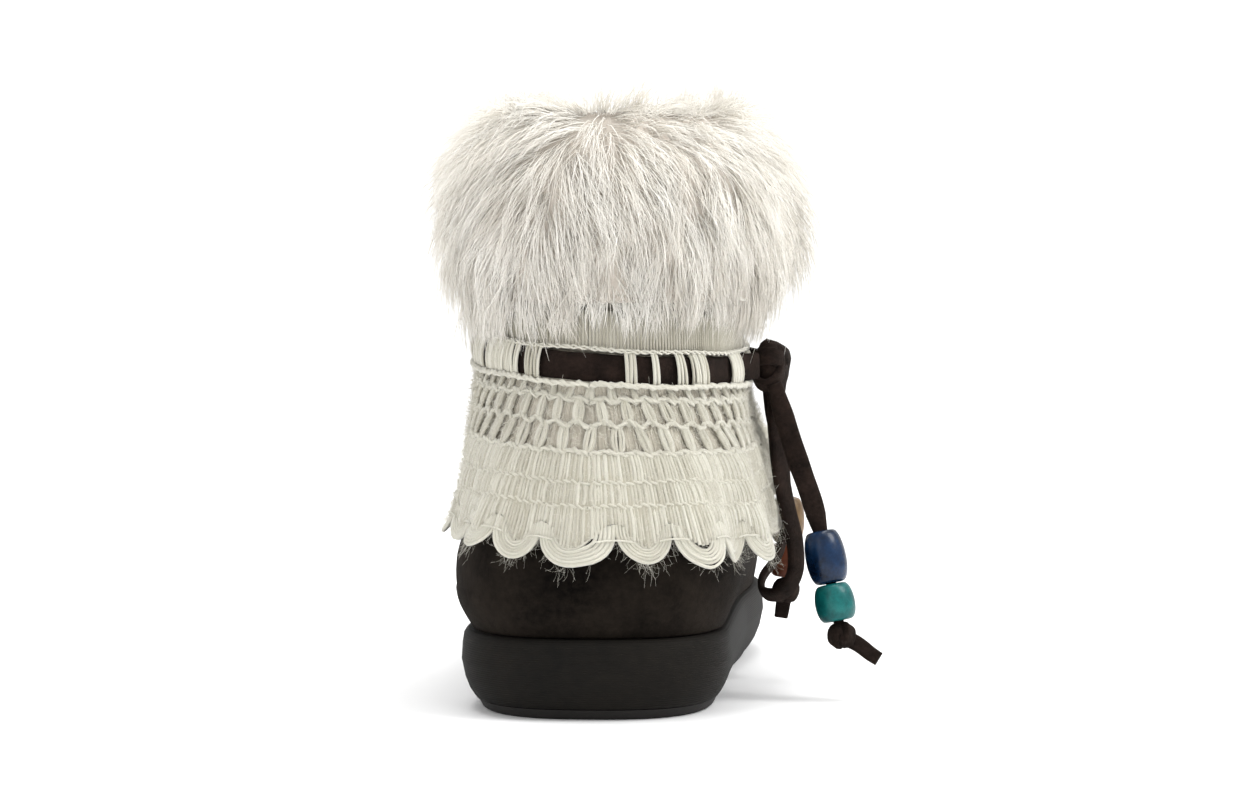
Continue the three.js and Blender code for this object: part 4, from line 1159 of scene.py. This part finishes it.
def fuzzPaths(turn, drop, share, length, downward, steps=2, kink=1.1):
    # short curling hairs that stand off the yarn
    root = inSkirt(turn, drop, share)
    level = levelAt(turn, drop)
    normal = surfaceNormal(turn, level)
    around = unit(np.cross(np.array([0.0, 0.0, 1.0]), normal))
    down = np.cross(normal, around) * -1
    heading = unit(normal * rng.uniform(0.15, 0.9, (len(turn), 1)) + around * rng.normal(0, 0.8, (len(turn), 1))
                   - down * (rng.normal(downward, 0.6, (len(turn), 1))))
    curl = unit(around * rng.normal(0, 1, (len(turn), 1)) - down * rng.normal(0, 1, (len(turn), 1)))
    places = [root]
    for i in range(steps):
        places.append(places[-1] + unit(heading + curl * kink * i) * (length / steps)[:, None])
    return np.stack(places, 1)


def skirtFuzz(count, highest, length, share, downward):
    turn = rng.random(count)
    drop = rng.uniform(highest, fuzzForm["lowest"], count)
    keep = drop < hemDrop(turn)
    return fuzzPaths(turn[keep], drop[keep], share, rng.uniform(*length, keep.sum()), downward)


def fuzzPiece(name, lines, radius):
    radii, tints = [radius] * len(lines), rng.random(len(lines))
    return settle(strandPiece(name, lines, radii, finishes["mohair"], fuzzForm["sides"], tints), "yarn")


lines = list(skirtFuzz(*fuzzForm["curly"].values()))
lines += list(skirtFuzz(*fuzzForm["haze"].values())[:, ::2])  # a haze of short straight hairs
fuzzPiece("mohairFuzz", lines, fuzzForm["radius"])
turn = rng.random(fuzzForm["hemCount"])
drop = hemDrop(turn) - rng.uniform(-0.6, 3.0, len(turn))
length = rng.uniform(*fuzzForm["hemLength"], len(turn))
fuzzPiece("hemFuzz", list(fuzzPaths(turn, drop, 0.7, length, -1.0, 3, 0.45)), fuzzForm["hemRadius"])


# lace run round the shaft behind the posts, and the knot of the bow

laceRun = {
    "drop": 17.25, "out": 2.3, "level": 6.3, "columns": 64, "rings": 320,
    "leaves": ((15.85, 7.2), (16.2, 7.1), (17, 4.7), (17.75, 2.3)),  # column and distance out
    "returns": ((76.2, 2.2), (77, 4.5), (77.75, 6.8), (78, 7.0)),
    "hidden": (18.6, 75.4, 81),
}
hidden = [(column, laceRun["out"]) for column in np.linspace(*laceRun["hidden"])]
laceStops = np.array([*laceRun["leaves"], *hidden, *laceRun["returns"]])
laceTurns = laceStops[:, 0] / laceRun["columns"]
laceAt = np.array([onSkirt(t, laceRun["drop"], o) for t, o in zip(laceTurns, laceStops[:, 1])])
laceFace = surfaceNormal(laceTurns, laceRun["level"])
laceLine, lacePlaces = curveThrough(laceAt, laceRun["rings"])
laceIndex = np.arange(len(laceAt))
laceFaces = np.stack([np.interp(lacePlaces, laceIndex, laceFace[:, axis]) for axis in range(3)], 1)
bandSizes = [np.full(laceRun["rings"], size) for size in laceForm["band"]]
settle(strapMesh("laceRound", laceLine, laceFaces, *bandSizes, 4), "lace_suede", "lace_band")

knotShape = {
    "centre": (51.4, 26.0, 102.8), "radii": (3.9, 5.4, 7.5), "tilt": -20.0,
    "rows": 14, "around": 24, "uneven": 0.06,
    "wraps": ((0.0, 0.4, 5.6), (0.9, -1.5, 4.6)), "wrapRings": 30,  # tilt, shift upwards and width
}


def tiltMatrix(tilt):
    return np.array([[1, 0, 0], [0, math.cos(tilt), -math.sin(tilt)], [0, math.sin(tilt), math.cos(tilt)]])


def bowKnot():
    # a lump of folded lace with two turns of strap laid over it
    radii = np.array(knotShape["radii"])
    rows, count = knotShape["rows"], knotShape["around"]
    angle = np.arange(count) * tau / count
    rings = []
    for polar in math.pi * np.arange(1, rows) / rows:
        level = np.full(count, -np.cos(polar))
        shape = np.stack([np.sin(polar) * np.cos(angle), np.sin(polar) * np.sin(angle), level], 1)
        rings.append(shape * (1 + knotShape["uneven"] * noiseOn(shape * 10, 9, 2)[:, None]) * radii)
    faces = ringFaces(len(rings), count)
    low, high, lastRing = (rows - 1) * count, (rows - 1) * count + 1, (rows - 2) * count
    rings.append(np.array([[0, 0, -1.0], [0, 0, 1.0]]) * radii)
    faces += [(low, (i + 1) % count, i) for i in range(count)]
    faces += [(high, lastRing + i, lastRing + (i + 1) % count) for i in range(count)]
    angle = np.linspace(0, tau, knotShape["wrapRings"], endpoint=False)
    for tilt, shift, width in knotShape["wraps"]:
        bend = 0.25 * np.sin(angle + 1) * math.sin(tilt)
        ring = np.stack([np.cos(angle) * 1.08, np.sin(angle) * 1.06, bend], 1)
        path = (ring @ tiltMatrix(tilt).T) * radii + np.array([0, 0, shift])
        faces += shifted(ringFaces(len(path), len(strapSection), joined=True), sum(map(len, rings)))
        rings += sweep(path, path / radii, [flatSection(width, 2.0)] * len(path), closed=True)
    points = np.concatenate(rings) @ tiltMatrix(math.radians(knotShape["tilt"])).T + knotShape["centre"]
    return meshPiece("bowKnot", points, faces, [finishes["lace"]])


settle(bowKnot(), "lace_suede", "lace_knot")


# fur cuff: an under roll, and long hair that parts at the crest and falls both ways

furForm = {
    "section": [
        (-3.2, 0.3), (-3.2, -15), (-8, -19), (-14, -8), (-15, 8), (-11, 23), (-2, 32.5), (4, 27),
        (10.5, 17), (13.8, 4), (13.4, -9), (9, -22), (6.5, -28), (5.2, -24), (1, -21), (1, 0.3),
    ],
    "lean": 0.26, "inset": 4.5, "rollAround": 128, "rollSteps": 48,
    "seed": 17, "hairs": 26700, "radius": 0.14, "sides": 3, "crest": 6.0, "insideShare": 0.12,
    "inside": (3.4, 5.4), "outside": (5.4, 6.9),
    "tuftSize": 5.6, "tuftPull": 0.42, "girth": 330.0, "spread": 11.0,
    "lengths": ([3.4, 5.2, 6.0, 7.2, 9.0, 10.0, 11.0, 12.0], [8, 11, 13, 18, 21, 18, 14, 10]),
    "stands": ([3.4, 5.2, 6.0, 7.0, 9.0, 12.0], [0.5, 0.8, 1.0, 0.8, 0.6, 0.4]),
    "strays": (0.05, 7.5, 1.5), "partingShift": 0.012,
}
furSection = np.array(furForm["section"], float)


def sectionAt(s):
    # the closed section as a smooth curve, s counted in its points
    count = len(furSection)
    s = np.asarray(s, float)
    k = np.floor(s).astype(int)
    f = (s - k)[..., None]
    a, b, c, d = (furSection[(k + step) % count] for step in (-1, 0, 1, 2))
    square, cube = 2 * a - 5 * b + 4 * c - d, 3 * b - a - 3 * c + d
    return 0.5 * ((2 * b) + (c - a) * f + square * f * f + cube * f ** 3)


def cuffSwell(turn, out):
    lean = 1 + furForm["lean"] * np.sin(tau * turn)
    waves = 1 + 0.05 * np.sin(tau * 5 * turn) + 0.03 * np.sin(tau * (8 * turn + 0.3))
    return np.where(out > 1.0, lean * waves, 1.0)


def collarPoint(turn, out, up):
    normal = flatNormal(turn, bootForm["collarLevel"])
    level = bootForm["collarLevel"] + np.minimum(0, up) / bootForm["collarLevelHeight"]
    place = surfacePoint(turn, level) + normal * np.asarray(out)[..., None]
    place[..., 2] = surfacePoint(turn, bootForm["collarLevel"])[..., 2] + up
    return place


def rollPoint(turn, s, inset):
    turn, s = np.broadcast_arrays(np.asarray(turn, float), np.asarray(s, float))
    point = sectionAt(s)
    ahead = unit(sectionAt(s + 0.05) - sectionAt(s - 0.05))
    outward = np.stack([ahead[..., 1], -ahead[..., 0]], -1) * -1
    point = point + outward * -np.asarray(inset)[..., None]
    return collarPoint(turn, point[..., 0] * cuffSwell(turn, point[..., 0]), point[..., 1]), ahead, outward


def depthAt(s):
    # how far the under roll lies inside the cuff's shape: little at the thin lower lip
    deep = furForm["inset"]
    return np.interp(s, [0, 2.4, 4.0, 10.2, 11.6, 12.6, 16.0], [0.6, 0.6, deep, deep, 1.6, 0.4, 0.6])


print("boot: fur")
around, steps = furForm["rollAround"], furForm["rollSteps"]
sectionSteps = np.arange(steps) / steps * len(furSection)
rollRings = [rollPoint(turn, sectionSteps, depthAt(sectionSteps))[0] for turn in np.arange(around) / around]
rollPiece = meshPiece("furUnderRoll", np.concatenate(rollRings), ringFaces(around, steps, joined=True),
                      [finishes["roll"]])
settle(rollPiece, "fur", "fur_cuff")

rng = np.random.default_rng(furForm["seed"])


def furFlow(turn, s):
    # the way out, the way down the roll from the crest, and the way round, at each root
    root, ahead, outward = rollPoint(turn, s, depthAt(s) + 0.4)
    flat = flatNormal(turn, bootForm["collarLevel"])
    up = np.array([0.0, 0.0, 1.0])
    normal = flat * outward[..., :1] + up * outward[..., 1:]
    along = flat * ahead[..., :1] + up * ahead[..., 1:]
    side = np.cross(up, flat)
    crest = furForm["crest"] + 0.8 * noiseOn(root, 20, 77, 3)  # the parting at the crest wanders
    turnOver = np.clip((s - crest) / 1.3, -1, 1)[..., None]
    return root, normal, along * turnOver, side


def hairLines(turn, s, length, sideways, stand, bend=0.0):
    root, normal, flow, side = furFlow(turn, s)
    bend = np.broadcast_to(bend, len(turn))[:, None]
    down = np.array([0.0, 0.0, -1.0])
    heading = unit(normal * stand[:, None] + flow * 0.85 + side * sideways[:, None])
    points = [root]
    for i in range(3):
        heading = unit(heading + (flow * 0.2 + down * 0.12 - normal * 0.08 + side * bend) * i)
        points.append(points[-1] + heading * (length / 3)[:, None])
    return np.stack(points, 1)


total = furForm["hairs"]
fromS, widthS = furForm["outside"]
inside = rng.random(total) < furForm["insideShare"]
s = np.where(inside, rng.uniform(*furForm["inside"], total), fromS + widthS * rng.random(total) ** 0.8)
turn = rng.random(total)
tuft = furForm["tuftSize"]
cellTurn = np.floor(turn * furForm["girth"] / tuft)
cellS = np.floor(s * furForm["spread"] / tuft + 0.5 * (cellTurn % 2))  # spread: millimetres to a step
names, index = np.unique((cellTurn * 977 + cellS).astype(int), return_inverse=True)
tufts = len(names)
tuftTurn = np.bincount(index, turn) / np.bincount(index)
tuftS = np.bincount(index, s) / np.bincount(index)


def lengthAt(s, turn):
    low = np.maximum(0, -np.sin(tau * turn)) + 0.7 * np.exp(-((turn - 0.235) / 0.04) ** 2)
    hanging = np.clip((s - 9) / 2, 0, 1) * low  # it hangs lower on the inner side, and over the knot
    return np.interp(s, *furForm["lengths"]) * (1 + 0.1 * np.sin(tau * 7 * turn + s)) * (1 + 0.6 * hanging)


tuftRoot = furFlow(tuftTurn, tuftS)[0]
heelPart = (tuftTurn + 0.5) % 1 - 0.5 + furForm["partingShift"]  # hair leans away from a parting at the heel
swirl = 0.7 * noiseOn(tuftRoot, 40, 31, 2) + 0.4 * noiseOn(tuftRoot, 17, 32, 1)
swirl += 0.7 * np.tanh(heelPart / 0.05) * np.exp(-(heelPart / 0.13) ** 2) * np.clip((tuftS - 7.5) / 1.5, 0, 1)
tuftSide = swirl + rng.normal(0, 0.2, tufts)
tuftStand = 1 + 0.35 * noiseOn(tuftRoot, 26, 12, 2) + rng.normal(0, 0.16, tufts)
tuftStand = tuftStand * np.interp(tuftS, *furForm["stands"])
tuftLength = lengthAt(tuftS, tuftTurn) * (1 + rng.normal(0, 0.16, tufts))
guide = hairLines(tuftTurn, tuftS, tuftLength, tuftSide, np.maximum(0.12, tuftStand))
strayShare, strayFrom, strayLength = furForm["strays"]
ownLength = lengthAt(s, turn) * rng.uniform(0.6, 1.2, total)
ownLength = ownLength * np.where((rng.random(total) < strayShare) & (s > strayFrom), strayLength, 1.0)
own = hairLines(turn, s, ownLength, tuftSide[index] + rng.normal(0, 0.28, total),
                np.maximum(0.1, tuftStand[index] + rng.normal(0, 0.22, total)), rng.normal(0, 0.16, total))
pull = np.array([0, 0.35, 0.72, 1.0])[None, :, None] * rng.uniform(0.6, 1.1, total)[:, None, None]
hair = own + (guide[index] - own) * pull * furForm["tuftPull"]
tuftTone = rng.uniform(0, 1, tufts)
greige = np.clip(0.5 + 0.5 * noiseOn(tuftRoot, 30, 44, 2), 0, 1)
tone = np.clip(0.45 * tuftTone[index] + 0.3 * greige[index] + 0.35 * rng.random(total), 0, 1)
taper = np.array([1.0, 0.92, 0.66, 0.16])
thick = furForm["radius"] * rng.uniform(0.6, 1.15, total)[:, None] * taper[None, :]
for part, label in enumerate(("furOne", "furTwo", "furThree")):
    chosen = slice(part, None, 3)
    piece = strandPiece(label, hair[chosen], thick[chosen], finishes["fur"], furForm["sides"], tone[chosen])
    settle(piece, "fur")


# floor and light

print("boot: floor and light")
studio = {  # in metres and watts
    "floor": (243, 243, 243), "world": (1.0, 1.0, 1.0, 1.0), "worldStrength": 0.8,
    "towards": (0.0, 0.03, 0.09),
    "lamps": {  # place, size and power
        "key": ((1.5, -0.4, 1.7), 1.2, 34.0), "top": ((-0.1, 0.2, 2.1), 1.6, 36.0),
        "fill": ((-1.4, -1.6, 1.0), 1.4, 8.0),
    },
}


def sweepMesh(material):
    # the floor runs up into a wall behind the boot in one bend
    bends = np.linspace(0.15, math.pi / 2, 12)
    bend = [(1.6 + 0.9 * math.sin(angle), 0.9 - 0.9 * math.cos(angle)) for angle in bends]
    profile = [(-3.0, 0.0), (1.6, 0.0), *bend, (2.5, 4.0)]
    points = np.array([(x, y, z) for y, z in profile for x in (-4.0, 4.0)]) / mm
    faces = [(2 * i, 2 * i + 1, 2 * i + 3, 2 * i + 2) for i in range(len(profile) - 1)]
    return meshPiece("paleFloor", points, faces, [material])


floorMaterial, floorTree, floorShader = newMaterial("paleFloor")
floorInputs = {"Base Color": colourOf(studio["floor"]), "Roughness": 0.9, "Specular IOR Level": 0.1}
feed(floorTree, floorShader, floorInputs)
sweepMesh(floorMaterial)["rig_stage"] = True

world = bpy.data.worlds.new("studio")
world.use_nodes = True
background = world.node_tree.nodes["Background"]
feed(world.node_tree, background, {"Color": studio["world"], "Strength": studio["worldStrength"]})
scene.world = world
for label, (at, size, power) in studio["lamps"].items():
    lamp = bpy.data.lights.new(label, "AREA")
    lamp.shape = "DISK"
    lamp.size = size
    lamp.energy = power
    aim(placed(label + "Light", lamp), at, studio["towards"])
scene.view_settings.view_transform = "Standard"
scene.view_settings.look = "None"

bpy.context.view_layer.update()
dressed = [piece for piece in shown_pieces() if "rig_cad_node" not in piece]
total = sum(len(face.vertices) - 2 for piece in dressed for face in piece.data.polygons)
print("boot: done,", total, "triangles in all")
